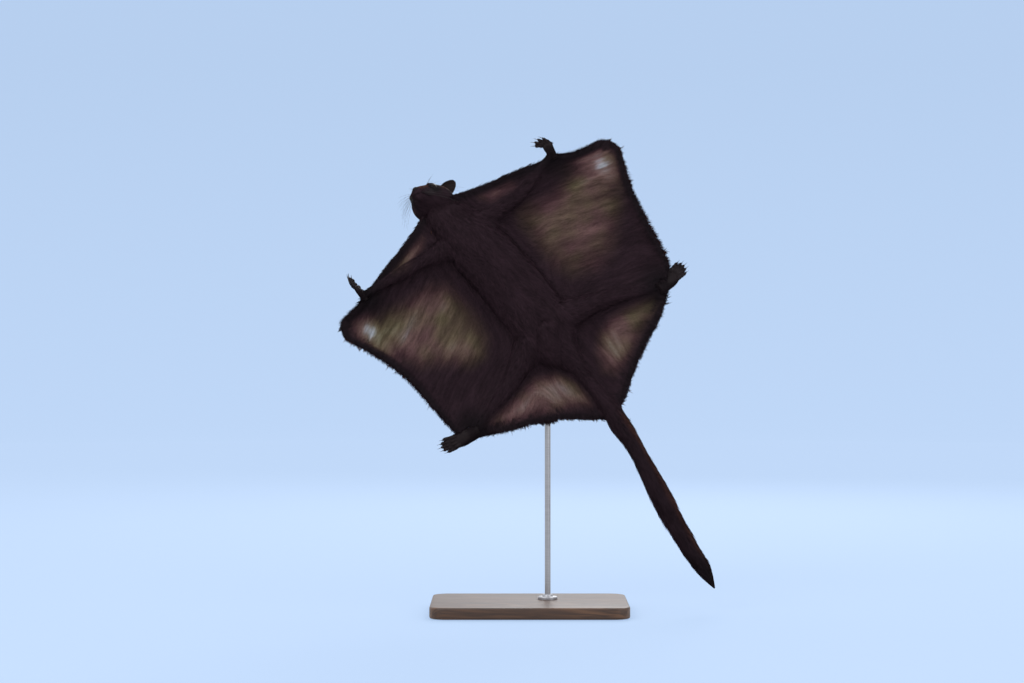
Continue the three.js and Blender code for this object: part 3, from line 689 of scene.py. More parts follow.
def marks_of(points, normals, edges, thick, on_head, tree):
    """The animal's markings and painted backlight at points of its skin: how far on the back, how pale, how
    dark and how warm. Pale is painted light through the thin membranes, and on the head its own pale cheek and
    ear-root patches.
    """
    plane = points[:, :2]
    local = animal_to_head(points)
    on_back = smooth(seen_from_above(points, normals, edges, tree), 0.5, 0.95)
    on_back *= smooth(normals[:, 2], -0.2, 0.2)
    crown = smooth((normals @ HEAD_AXES.T)[:, 2], 0.1, 0.75) * smooth(local[:, 2], -14, -2)
    back = mix(on_back, crown, on_head)

    rim = free_edge(plane)[0]
    lie = lie_places(points)
    pale = np.zeros(len(points))
    patchy = 0.5 + 0.5 * soft_noise(points * [1, 1, 0], 40, 11)
    bands = 0.5 + 0.5 * soft_noise(lie * [0.22, 1, 0], 13, 12)
    fine = 0.5 + 0.5 * soft_noise(lie * [0.12, 1, 0], 4.5, 13)
    # Painted backlight: paler colour where light shines through the thin membranes.
    for name, (strength, outline) in PAINTED_BACKLIGHT.items():
        softness = PAINTED_BACKLIGHT_SOFTNESS[name.split("_")[1]]
        inner = smooth(inside_by(plane, outline), -12, softness) * strength
        if name == "left_side":
            inner *= mix(0.66, 1.05, smooth(plane[:, 0], -60, 100))
        pale = np.maximum(pale, inner * (0.26 + 0.26 * patchy + 0.26 * bands + 0.14 * fine))
    # Painted glow of light through the membranes near the wing tips.
    for x, y, size, strength in PAINTED_TIP_GLOW:
        glow = np.exp(-(np.linalg.norm((plane - [x, y]) * [0.75, 1.0], axis=1) / size)**2)
        pale = np.maximum(pale, glow * strength * (0.72 + 0.35 * fine) * smooth(rim, 10, 20))
    # The painted backlight stays on thin flesh only.
    pale *= 1 - smooth(thick, 12, 34)
    # The head's own pale cheek and ear-root patches.
    cheek = np.linalg.norm((local - [-36, -33, -8]) / [12, 8, 6], axis=1)
    ear_root = np.linalg.norm((local - [-66, 30, 6]) / [8, 9, 8], axis=1)
    patches = np.maximum(1 - smooth(cheek, 0.3, 1), 1 - smooth(ear_root, 0.3, 1))
    pale = np.maximum(pale, 0.45 * on_head * patches)

    dark = (1 - smooth(rim, 9, 19)) * (1 - smooth(thick, 12, 22)) * mix(0.9, 0.25, back)
    for paw in PAWS.values():
        dark = np.maximum(dark, 1 - smooth(np.linalg.norm(points - paw["place"], axis=1), 14, 60))
    dark = np.maximum(dark, smooth(-points[:, 0], 560, 600))
    for side in (-1, 1):
        distance, _ = eye_angles(local, side)
        dark = np.maximum(dark, on_head * (1 - smooth(distance, 9.0, 13.5)) * 0.95)
    nose = ellipsoid_field(local, NOSE["place"], NOSE["size"])
    dark = np.maximum(dark, on_head * (1 - smooth(nose, 0.5, 3)))
    dark = np.maximum(dark, 0.85 * on_head * mouth_line(local, 1.0))
    flat = points * [1, 1, 0]
    warm = 0.5 + 0.75 * soft_noise(flat, 52, 14) + 0.35 * soft_noise(flat, 19, 15)
    return np.stack([back, pale, dark, np.clip(warm, 0, 1)], 1)


def streaks_of(points):
    """Locks of lighter and darker hair that run along its lie, from 0 to 1."""
    wander = [soft_noise(points, 34, 43), soft_noise(points, 34, 44), np.zeros(len(points))]
    lie = lie_places(points + 7 * np.stack(wander, 1))
    value = 0.6 * soft_noise(lie * [0.16, 1, 0.6], 5.5, 41)
    value += 0.55 * soft_noise(lie * [0.12, 1, 0.6], 2.4, 42)
    return np.clip(0.5 + 0.75 * value, 0, 1)


def along_skin(ways, normals):
    """The ways laid flat on the skin."""
    return unit(ways - normals * (ways * normals).sum(1)[:, None])


def lie_of(points, normals, on_head):
    """Which way the coat lies at points of the skin."""
    off = off_middle(points)
    side = np.sign(off)
    out = smooth(np.abs(off), 22, 80)[:, None]
    rear = (smooth(-points[:, 0], 120, 165) * (1 - smooth(np.abs(off), 150, 200)))[:, None]
    backward = np.array([-1.0, 0, 0])
    outward = np.stack([np.full(len(off), -0.4), side, np.zeros(len(off))], 1)
    toward_edge = np.stack([np.full(len(off), -1.0), side * 0.3, np.zeros(len(off))], 1)
    lie = mix(mix(backward, outward, out), toward_edge, rear)
    lie = mix(lie, np.array([[-1.0, 0, 0.0]]) @ HEAD_AXES, on_head[:, None])
    swirl = 0.3 * soft_noise(points, 26, 21)
    lie = along_skin(lie, normals)
    return unit(lie + np.cross(normals, lie) * swirl[:, None])


def unwrap(piece):
    """An unwrap of the piece's own shape, named OFBake."""
    piece.data.uv_layers.new(name="OFBake")
    bpy.ops.object.select_all(action="DESELECT")
    piece.select_set(True)
    bpy.context.view_layer.objects.active = piece
    bpy.ops.object.mode_set(mode="EDIT")
    bpy.ops.mesh.select_all(action="SELECT")
    bpy.ops.uv.smart_project(angle_limit=1.15, island_margin=0.004)
    bpy.ops.object.mode_set(mode="OBJECT")


def store(mesh, name, values):
    """Keeps numbers on a mesh's points, one or three each."""
    kind = "FLOAT" if values.ndim == 1 else "FLOAT_VECTOR"
    kept = mesh.attributes.new(name, kind, "POINT")
    kept.data.foreach_set("value" if values.ndim == 1 else "vector", values.astype(np.float32).ravel())


def store_marks(mesh, marks):
    store(mesh, "marks", marks[:, :3])
    store(mesh, "warm", marks[:, 3])


class Surface:
    """A finished skin as numbers, to plant hair on."""

    def __init__(self, piece, **fields):
        mesh = piece.data
        self.points = points_of(piece)
        self.fields = {"normal": normals_of(piece), **fields}
        self.triangles = triangles_of(mesh)
        corners = numbers(mesh.loop_triangles, "loops", 3, np.int32)
        self.places = numbers(mesh.uv_layers["OFBake"].uv, "vector", 2)[corners]
        a, b, c = (self.points[self.triangles[:, k]] for k in range(3))
        self.areas = np.linalg.norm(np.cross(b - a, c - a), axis=1) / 2
        self.tree = tree_of(self.points, self.triangles)

    def field(self, name, triangle, weights):
        return np.einsum("nk,nk...->n...", weights, self.fields[name][self.triangles[triangle]])

    def where(self, test):
        """The mean over each triangle of a number for each point."""
        return test[self.triangles].mean(1)

    def plant(self, density, count, random):
        """Roots spread by density over the triangles: which triangle, and the weights of its corners."""
        total = np.cumsum(self.areas * np.maximum(density, 0))
        drawn = (np.arange(count) + random.random(count)) / count * total[-1]
        triangle = np.minimum(np.searchsorted(total, drawn), len(total) - 1)
        u, v = random.random((2, count))
        flip = u + v > 1
        u, v = np.where(flip, 1 - u, u), np.where(flip, 1 - v, v)
        return triangle, np.stack([1 - u - v, u, v], 1)

    def nearest(self, points):
        """The nearest points of the skin: their triangle, and the weights of its corners."""
        found = [self.tree.find_nearest(p) for p in points.tolist()]
        triangle = np.array([hit[2] for hit in found], np.int64)
        place = np.array([hit[0] for hit in found])
        a, b, c = (self.points[self.triangles[triangle, k]] for k in range(3))
        whole = np.cross(b - a, c - a)
        size = np.maximum((whole**2).sum(1), 1e-12)
        u = (np.cross(c - b, place - b) * whole).sum(1) / size
        v = (np.cross(a - c, place - c) * whole).sum(1) / size
        u, v = np.clip(u, 0, 1), np.clip(v, 0, 1)
        return triangle, np.stack([u, v, np.clip(1 - u - v, 0, 1)], 1)

    def at(self, triangle, weights):
        return np.einsum("nk,nkd->nd", weights, self.points[self.triangles[triangle]])

    def unwrapped(self, triangle, weights):
        """Where points of the skin are in its unwrap."""
        return np.einsum("nk,nkd->nd", weights, self.places[triangle])

    def clear_run(self, starts, ways, reach):
        """How far each straight run over the skin goes before it meets the skin again, up to its reach."""
        hits = [self.tree.ray_cast(*run)[3] for run in zip(starts.tolist(), ways.tolist(), reach.tolist())]
        return np.array([most if hit is None else hit for hit, most in zip(hits, reach)])


def blades(name, material, stations, normals, widths, marks, strand, places, roll):
    """One piece of flat tapered tufts. Stations holds each tuft's points from root to tip."""
    count, steps = stations.shape[:2]
    run = unit(np.gradient(stations, axis=1))
    side = unit(np.cross(run, normals))
    lean = roll[:, None, None]
    side = unit(side * np.cos(lean) + np.cross(run, side) * np.sin(lean))
    half = side * (widths / 2)[..., None]
    pairs = np.stack([stations - half, stations + half], 2)[:, :-1].reshape(count, -1, 3)
    points = np.concatenate([pairs, stations[:, -1:]], 1)
    per = points.shape[1]
    corners = []
    for k in range(steps - 2):
        corners += [2 * k, 2 * k + 1, 2 * k + 3, 2 * k + 2]
    corners += [per - 3, per - 2, per - 1]
    starts = np.arange(0, 4 * (steps - 2) + 1, 4)

    mesh = bpy.data.meshes.new(name)
    mesh.vertices.add(count * per)
    mesh.vertices.foreach_set("co", to_room(points.reshape(-1, 3)).ravel())
    loops = (np.arange(count)[:, None] * per + np.array(corners)).ravel()
    mesh.loops.add(len(loops))
    mesh.loops.foreach_set("vertex_index", loops.astype(np.int32))
    mesh.polygons.add(count * len(starts))
    begin = (np.arange(count)[:, None] * len(corners) + starts).ravel()
    mesh.polygons.foreach_set("loop_start", begin.astype(np.int32))
    mesh.update(calc_edges=True)
    mesh.shade_smooth()

    share = np.linspace(0, 1, steps)
    along_tuft = np.tile(np.append(np.repeat(share[:-1], 2), 1.0), count)
    across = np.tile(np.append(np.tile([0.0, 1.0], steps - 1), 0.5), count)
    store_marks(mesh, np.repeat(marks, per, 0))
    store(mesh, "strand", np.repeat(strand, per))
    store(mesh, "along", along_tuft)
    patch = TUFT_PATCH * (np.stack([across, along_tuft], 1) - 0.5)
    layer = mesh.uv_layers.new(name="OFBake", do_init=False)
    unwrapped = (np.repeat(places, per, 0) + patch)[loops]
    layer.uv.foreach_set("vector", unwrapped.astype(np.float32).ravel())

    facing = unit(np.cross(side, run))
    facing *= np.sign((facing * normals).sum(2))[..., None]
    shaded = unit(mix(facing, normals, 0.65))
    shaded = np.concatenate([np.repeat(shaded[:, :-1], 2, 1), shaded[:, -1:]], 1).reshape(-1, 3)
    mesh.normals_split_custom_set_from_vertices(shaded @ ANIMAL_AXES)
    mesh.materials.append(material)
    piece = bpy.data.objects.new(name, mesh)
    bpy.context.scene.collection.objects.link(piece)
    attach(piece, "root")
    return piece


def lying_coat(name, slot, material, surface, density, seed, count, length, width, steps=3, stray=0.12):
    """Tufts that lie along a skin, each following its surface. Length and width are shares of the field's."""
    random = np.random.default_rng(seed)
    triangle, weights = surface.plant(density, count, random)
    root = surface.at(triangle, weights)
    normal = unit(surface.field("normal", triangle, weights))
    lie = unit(surface.field("lie", triangle, weights))
    coat = surface.field("coat", triangle, weights)
    depth = surface.field("depth", triangle, weights)
    turn = random.normal(0, stray, count)[:, None]
    lie = along_skin(lie, normal)
    lie = unit(lie + np.cross(normal, lie) * turn)
    reach = coat * length * random.uniform(0.7, 1.25, count)
    reach = np.maximum(0.85 * surface.clear_run(root + normal, lie, reach / 0.85), 1.2)
    bend = np.cross(normal, lie) * (random.normal(0, 0.16, count) * reach)[:, None]
    high = depth * random.uniform(0.6, 1.25, count)

    stations, shells = [root - normal * 0.3], [normal]
    for step in range(1, steps):
        share = step / (steps - 1)
        straight = root + lie * (reach * share)[:, None] + bend * share**2
        found, corner_weights = surface.nearest(straight)
        foot = surface.at(found, corner_weights)
        shell = unit(surface.field("normal", found, corner_weights))
        past = smooth((lie * shell).sum(1), 0.45, 0.85)[:, None]
        rising = (high * (1 - (1 - share)**2))[:, None]
        stations.append(mix(foot + shell * rising, straight + normal * rising * 0.5, past))
        shells.append(unit(mix(shell, normal, past)))
    profile = np.interp(np.linspace(0, 1, steps), [0, 0.35, 1], [0.75, 1, 0])
    widths = np.outer(width * np.sqrt(coat / 9) * random.uniform(0.75, 1.25, count), profile)
    strand = 0.55 * random.random(count) + 0.45 * streaks_of(root)
    return blades(name, material, np.stack(stations, 1), np.stack(shells, 1), widths,
                  surface.field("marks", triangle, weights), strand, surface.unwrapped(triangle, weights),
                  random.normal(0, 0.45, count))


def tail_coat(name, material, surface, count, seed, first, last):
    """Long tufts that lie back along the tail, from its core out to the coat's outer shape."""
    random = np.random.default_rng(seed)
    start = np.sort(mix(first, last, (np.arange(count) + random.random(count)) / count))
    angle = random.uniform(0, 2 * np.pi, count)
    steps = 4
    span = random.uniform(0.055, 0.105, count) * np.interp(start, [0, 0.8, 1], [1, 1, 0.75])
    drift = random.normal(0, 0.12, count)
    clumps = soft_noise(np.column_stack([start * 16, np.cos(angle) * 1.6, np.sin(angle) * 1.6]), 1, seed)
    outer = random.uniform(0.84, 1.0, count) + 0.15 * clumps + 0.08 * (random.random(count) > 0.9)
    stations, normals = [], []
    for step in range(steps):
        share = step / (steps - 1)
        t = np.minimum(start + span * share, 0.997)
        out = mix(TAIL_CORE - 0.03, outer, 1 - (1 - share)**1.7)
        points, _, outward = on_body(TAIL_COAT, t, angle + drift * share, out)
        stations.append(points)
        normals.append(unit(outward))
    triangle, weights = surface.nearest(stations[0])
    normals = np.stack(normals, 1)
    marks = tail_marks(start + span, normals[:, 1])
    base = surface.field("marks", triangle, weights)
    marks = mix(base, marks, smooth(start, 0.0, 0.12)[:, None])
    widths = np.outer(random.uniform(0.7, 1.25, count), [0.8, 1, 0.7, 0])
    strand = 0.5 * random.random(count) + 0.5 * np.clip(0.5 + 0.7 * clumps, 0, 1)
    return blades(name, material, np.stack(stations, 1), normals, widths, marks, strand,
                  surface.unwrapped(triangle, weights), random.normal(0, 0.5, count))


def tail_marks(t, outward):
    """The tail's markings: dark brown below, chestnut above and on the left edge, black at the tip."""
    back = np.maximum(smooth(outward[:, 2], -0.1, 0.7), 0.75 * smooth(outward[:, 1], 0.3, 0.95))
    tip = smooth(t, 0.76, 0.96)
    dark = mix(mix(0.42, 0.20, back), 1, tip)
    return np.stack([0.75 * back, np.zeros(len(t)), dark, np.full(len(t), 0.6)], 1)


def fringe(name, material, surface, side, seed):
    """The furred edge of one side's membranes: tufts from both faces that run out past the skin's rim."""
    random = np.random.default_rng(seed)
    groups = []
    for kind, rows in EDGES[side].items():
        plan = FRINGE[kind]
        line = along(rows, np.linspace(0, 1, 200))
        count = int(plan["per_mm"] * np.linalg.norm(np.diff(line, axis=0), axis=1).sum())
        t = (np.arange(count) + random.random(count)) / count
        edge = along(rows, t)
        run = unit((along(rows, np.minimum(t + 0.01, 1)) - along(rows, np.maximum(t - 0.01, 0)))[:, :2])
        outward = np.stack([run[:, 1], -run[:, 0]], 1)
        outward *= np.sign((outward * (edge[:, :2] - BODY_MIDDLE)).sum(1))[:, None]
        inset = random.uniform(*plan["inset"], count)
        face = np.where(random.random(count) < 0.5, -1.0, 1.0)
        guess = edge.copy()
        guess[:, :2] -= outward * inset[:, None]
        guess[:, 2] += face * 6
        flow = run if kind != "trail" else np.stack([-np.ones(count), np.zeros(count)], 1)
        way = unit(outward + flow * plan["flow"])
        ragged = plan["past"] * (1.6 * soft_noise(edge, 8, seed) + 1.2 * soft_noise(edge, 3, seed + 1) + 1.0)
        ragged += random.normal(plan["start"], 0.6, count) - 2.5 * random.random(count)**3
        reach = (inset + ragged) / np.maximum((way * outward).sum(1), 0.3)
        groups.append((guess, np.column_stack([way, np.zeros(count)]), np.maximum(reach, 3), edge[:, 2]))
    guess, way, reach, level = (np.concatenate(part) for part in zip(*groups))
    count = len(guess)
    triangle, weights = surface.nearest(guess)
    root = surface.at(triangle, weights)
    normal = unit(surface.field("normal", triangle, weights))
    stations = []
    steps = 4
    drop = random.normal(0, 0.6, count)
    for share in np.linspace(0, 1, steps):
        points = root + way * (reach * share)[:, None]
        puff = 1.2 * math.sin(math.pi * min(share * 1.1, 1.0))
        height = mix(root[:, 2], level + drop, share**1.6) + normal[:, 2] * puff
        points[:, 2] = height - normal[:, 2] * (0.3 if share == 0 else 0)
        stations.append(points)
    widths = np.outer(random.uniform(0.4, 0.72, count), [0.8, 1, 0.75, 0])
    marks = surface.field("marks", triangle, weights)
    marks[:, :2] *= 0.3
    marks[:, 2] = np.maximum(marks[:, 2], 0.8)
    normals = np.repeat(normal[:, None], steps, 1)
    tone = np.clip(0.5 + 0.8 * soft_noise(root, 3, seed + 2), 0, 1)
    strand = 0.5 * random.random(count) + 0.5 * tone
    return blades(name, material, np.stack(stations, 1), normals, widths, marks, strand,
                  surface.unwrapped(triangle, weights), random.normal(0, 0.5, count))


# Materials. An effect that several of them share is a node group.
def add(tree, kind, **settings):
    node = tree.nodes.new("ShaderNode" + kind)
    for name, value in settings.items():
        setattr(node, name, value)
    return node


def feed(tree, socket, value):
    """Links a socket to another, or sets its value."""
    if isinstance(value, bpy.types.NodeSocket):
        tree.links.new(value, socket)
    else:
        socket.default_value = value


def put(tree, node, **values):
    """Sets or links inputs by name, with _ for a space."""
    for name, value in values.items():
        feed(tree, node.inputs[name.replace("_", " ")], value)
    return node


def ramp(tree, factor, stops):
    node = add(tree, "ValToRGB")
    while len(node.color_ramp.elements) < len(stops):
        node.color_ramp.elements.new(0.5)
    for element, (place, colour) in zip(node.color_ramp.elements, stops):
        element.position = place
        element.color = (*colour, 1)
    tree.links.new(factor, node.inputs["Fac"])
    return node.outputs["Color"]


def blend_colours(tree, factor, a, b, kind="MIX"):
    node = add(tree, "Mix", data_type="RGBA", blend_type=kind)
    for socket, value in ((node.inputs[0], factor), (node.inputs[6], a), (node.inputs[7], b)):
        feed(tree, socket, value)
    return node.outputs[2]


def calc(tree, operation, *values):
    node = add(tree, "Math", operation=operation)
    for socket, value in zip(node.inputs, values):
        feed(tree, socket, value)
    return node.outputs[0]


def new_group(name, inputs, outputs):
    group = bpy.data.node_groups.new(name, "ShaderNodeTree")
    for direction, sockets in (("INPUT", inputs), ("OUTPUT", outputs)):
        for socket, kind in sockets.items():
            group.interface.new_socket(socket, in_out=direction, socket_type="NodeSocket" + kind)
    return group, group.nodes.new("NodeGroupInput").outputs, group.nodes.new("NodeGroupOutput").inputs


def place_group(tree, group):
    node = tree.nodes.new("ShaderNodeGroup")
    node.node_tree = group
    return node


# Colours by how pale. The lowest stops are the coat's own colour. The stops above are painted light through the
# membranes, up to bluish white at the wing tips, and in the middle also the head's pale patches.
BELLY = [(0.0, (0.026, 0.014, 0.019)), (0.3, (0.058, 0.036, 0.038)), (0.6, (0.135, 0.098, 0.086)),
         (0.8, (0.21, 0.175, 0.16)), (1.0, (0.44, 0.46, 0.50))]
BACK = [(0.0, (0.066, 0.021, 0.011)), (0.6, (0.12, 0.043, 0.022)), (1.0, (0.155, 0.07, 0.042))]
DARK = (0.010, 0.007, 0.009, 1)
TIP = (0.26, 0.14, 0.08, 1)
COOL_HUE = (0.95, 1.02, 0.70, 1)
WARM_HUE = (1.10, 0.84, 0.92, 1)


def markings_group():
    """Marks, the tuft's own draw and the place along it, turned into the coat's colour."""
    group, given, out = new_group(
        "coat markings", {"Marks": "Vector", "Warm": "Float", "Strand": "Float", "Along": "Float"},
        {"Colour": "Color"})
    marks = put(group, add(group, "SeparateXYZ"), Vector=given["Marks"]).outputs
    # Y is how pale: painted backlight on the membranes, and the head's own pale patches. The hue tints below
    # fall on middling pale.
    belly = ramp(group, marks["Y"], BELLY)
    hue = blend_colours(group, given["Warm"], COOL_HUE, WARM_HUE)
    tinted = calc(group, "MULTIPLY", marks["Y"], calc(group, "SUBTRACT", 1.0, marks["Y"]))
    tinted = calc(group, "MINIMUM", calc(group, "MULTIPLY", tinted, 4.5), 1.0)
    belly = blend_colours(group, tinted, belly, blend_colours(group, 1.0, belly, hue, "MULTIPLY"))
    back = ramp(group, marks["Y"], BACK)
    colour = blend_colours(group, marks["X"], belly, back)
    tipped = calc(group, "MULTIPLY", calc(group, "POWER", given["Along"], 3.0), 0.28)
    tipped = calc(group, "MULTIPLY", tipped, calc(group, "GREATER_THAN", given["Strand"], 0.72))
    tipped = calc(group, "MULTIPLY", tipped, marks["X"])
    colour = blend_colours(group, tipped, colour, TIP)
    colour = blend_colours(group, calc(group, "MULTIPLY", marks["Z"], 0.92), colour, DARK)
    light = calc(group, "MULTIPLY_ADD", given["Strand"], 1.1, 0.45)
    light = calc(group, "MULTIPLY", light, calc(group, "MULTIPLY_ADD", given["Along"], 0.3, 0.85))
    tone = put(group, add(group, "CombineColor"), Red=light, Green=light, Blue=light).outputs[0]
    group.links.new(blend_colours(group, 1.0, colour, tone, "MULTIPLY"), out["Colour"])
    return group


def streaks_group():
    """Fine streaks along the lie of short hair, as a value and as a height."""
    group, given, out = new_group("hair streaks", {"Lie": "Vector"}, {"Streak": "Float", "Height": "Float"})
    values = []
    for stretch, scale in ((0.10, 0.9), (0.05, 0.28)):
        stretched = add(group, "VectorMath", operation="MULTIPLY")
        for socket, value in zip(stretched.inputs, (given["Lie"], (stretch, 1.0, 0.4))):
            feed(group, socket, value)
        noise = put(group, add(group, "TexNoise"), Vector=stretched.outputs[0], Scale=scale, Detail=3.0)
        values.append(noise.outputs[0])
    coarse, fine = values
    both = calc(group, "ADD", calc(group, "MULTIPLY", coarse, 0.55), calc(group, "MULTIPLY", fine, 0.45))
    sharp = add(group, "MapRange", interpolation_type="SMOOTHSTEP")
    put(group, sharp, Value=both, From_Min=0.36, From_Max=0.64)
    group.links.new(sharp.outputs[0], out["Streak"])
    group.links.new(coarse, out["Height"])
    return group


def new_material(name, **sockets):
    material = bpy.data.materials.new(name)
    material.use_nodes = True
    tree = material.node_tree
    shader = tree.nodes["Principled BSDF"]
    put(tree, shader, **sockets)
    return material, tree, shader


def attribute(tree, name, output):
    return add(tree, "Attribute", attribute_name=name).outputs[output]


def bump(tree, height, strength, distance_mm):
    node = put(tree, add(tree, "Bump"), Height=height, Strength=strength, Distance=distance_mm * MM)
    return node.outputs[0]


def skin_material(markings, streaks):
    """Short flat fur over the skin: markings with streaks of hair in colour and bump."""
    material, tree, shader = new_material("furred skin", Roughness=0.85, Specular_IOR_Level=0.06)
    hair = put(tree, place_group(tree, streaks), Lie=attribute(tree, "lie_place", "Vector")).outputs
    strand = calc(tree, "ADD", calc(tree, "MULTIPLY", hair["Streak"], 0.5),
                  calc(tree, "MULTIPLY", attribute(tree, "streak", "Fac"), 0.5))
    node = put(tree, place_group(tree, markings), Marks=attribute(tree, "marks", "Vector"),
               Warm=attribute(tree, "warm", "Fac"), Strand=strand, Along=0.35)
    normal = bump(tree, hair["Height"], 0.7, 0.5)
    put(tree, shader, Base_Color=node.outputs["Colour"], Normal=normal)
    return material


def coat_material(markings):
    material, tree, shader = new_material("coat hair", Roughness=0.6, Specular_IOR_Level=0.05)
    node = put(tree, place_group(tree, markings), Marks=attribute(tree, "marks", "Vector"),
               Warm=attribute(tree, "warm", "Fac"), Strand=attribute(tree, "strand", "Fac"),
               Along=attribute(tree, "along", "Fac"))
    put(tree, shader, Base_Color=node.outputs["Colour"])
    return material


def speckled(name, low, high, scale, roughness, relief=0.0, **sockets):
    """A finish whose colour wanders between two tones, with a fine relief."""
    material, tree, shader = new_material(name, **sockets)
    place = add(tree, "TexCoord").outputs["Object"]
    noise = put(tree, add(tree, "TexNoise"), Vector=place, Scale=scale, Detail=4.0).outputs[0]
    put(tree, shader, Base_Color=ramp(tree, noise, [(0.3, low), (0.7, high)]))
    rough = add(tree, "MapRange")
    put(tree, rough, Value=noise, To_Min=roughness[0], To_Max=roughness[1])
    put(tree, shader, Roughness=rough.outputs[0])
    if relief:
        put(tree, shader, Normal=bump(tree, noise, 0.6, relief))
    return material


def wood_material():
    """Dark stained wood: growth rings seen along the grain, and fine pores."""
    material, tree, shader = new_material("stained wood", Coat_Weight=0.15, Coat_Roughness=0.35)
    place = add(tree, "TexCoord").outputs["Object"]
    grain = add(tree, "Mapping")
    put(tree, grain, Vector=place, Scale=(1.2, 14.0, 14.0))
    warp = put(tree, add(tree, "TexNoise"), Vector=grain.outputs[0], Scale=2.0, Detail=5.0, Distortion=0.6)
    fine = add(tree, "Mapping")
    put(tree, fine, Vector=place, Scale=(12.0, 260.0, 260.0))
    pores = put(tree, add(tree, "TexNoise"), Vector=fine.outputs[0], Scale=2.0, Detail=3.0)
    rings = calc(tree, "FRACT", calc(tree, "MULTIPLY", warp.outputs[0], 9.0))
    rings = calc(tree, "SUBTRACT", 1.0, calc(tree, "ABSOLUTE", calc(tree, "MULTIPLY_ADD", rings, 2.0, -1.0)))
    tone = calc(tree, "MULTIPLY_ADD", pores.outputs[0], 0.5, calc(tree, "MULTIPLY", rings, 0.5))
    colour = ramp(tree, tone, [(0.15, (0.030, 0.013, 0.007)), (0.55, (0.085, 0.038, 0.018)),
                               (0.9, (0.15, 0.072, 0.034))])
    rough = add(tree, "MapRange")
    put(tree, rough, Value=pores.outputs[0], To_Min=0.3, To_Max=0.5)
    put(tree, shader, Base_Color=colour, Roughness=rough.outputs[0], Normal=bump(tree, tone, 0.25, 0.2))
    return material


def steel_material():
    """Brushed steel, its scratches running round the rod."""
    material, tree, shader = new_material("brushed steel", Metallic=1.0)
    place = add(tree, "TexCoord").outputs["Object"]
    brushed = add(tree, "Mapping")
    put(tree, brushed, Vector=place, Scale=(30.0, 30.0, 2600.0))
    noise = put(tree, add(tree, "TexNoise"), Vector=brushed.outputs[0], Scale=1.0, Detail=3.0).outputs[0]
    rough = add(tree, "MapRange")
    put(tree, rough, Value=noise, To_Min=0.24, To_Max=0.42)
    colour = ramp(tree, noise, [(0.3, (0.36, 0.36, 0.38)), (0.7, (0.5, 0.5, 0.52))])
    put(tree, shader, Base_Color=colour, Roughness=rough.outputs[0], Normal=bump(tree, noise, 0.15, 0.05))
    return material


def finished(piece, slot, *nodes):
    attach(piece, "root")
    if nodes:
        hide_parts(*nodes)
    return piece


# Paws: the flesh as one small skin, and the claws as pieces of their own.
def digit_rows(start, turn_deg, length, radius):
    turn = math.radians(turn_deg)

    def at(s, z):
        return [start[0] + s * math.cos(turn), start[1] + s * math.sin(turn), start[2] + z]

    flesh = [
        at(-5, -0.5) + [radius * 1.1] * 3, at(length * 0.12, 0.7) + [radius * 1.0] * 3,
        at(length * 0.32, 1.0) + [radius * 1.12] * 3, at(length * 0.55, 0.6) + [radius * 0.92] * 3,
        at(length * 0.78, 0) + [radius * 1.06] * 3, at(length * 0.95, -0.6) + [radius * 0.82] * 3,
        at(length * 1.0, -0.8) + [radius * 0.35] * 3,
    ]
    pads = [ball(at(length * s, -radius * 0.75), [radius * 1.25, radius * 0.85, radius * 0.6], 12, 8)
            for s in (0.3, 0.86)]
    reach, root, hook = CLAW["length"], CLAW["radius"], CLAW["hook"]
    horn = []
    for s in np.linspace(0, 1, 7):
        thick = mix(root * 0.95, 0.18, s**0.9)
        arch = 0.9 * math.sin(math.pi * s * 0.8) - hook * s**2
        horn.append(at(length * 0.82 + (reach + length * 0.18) * s, arch) + [thick * 0.55, thick, thick])
    return flesh, pads, horn


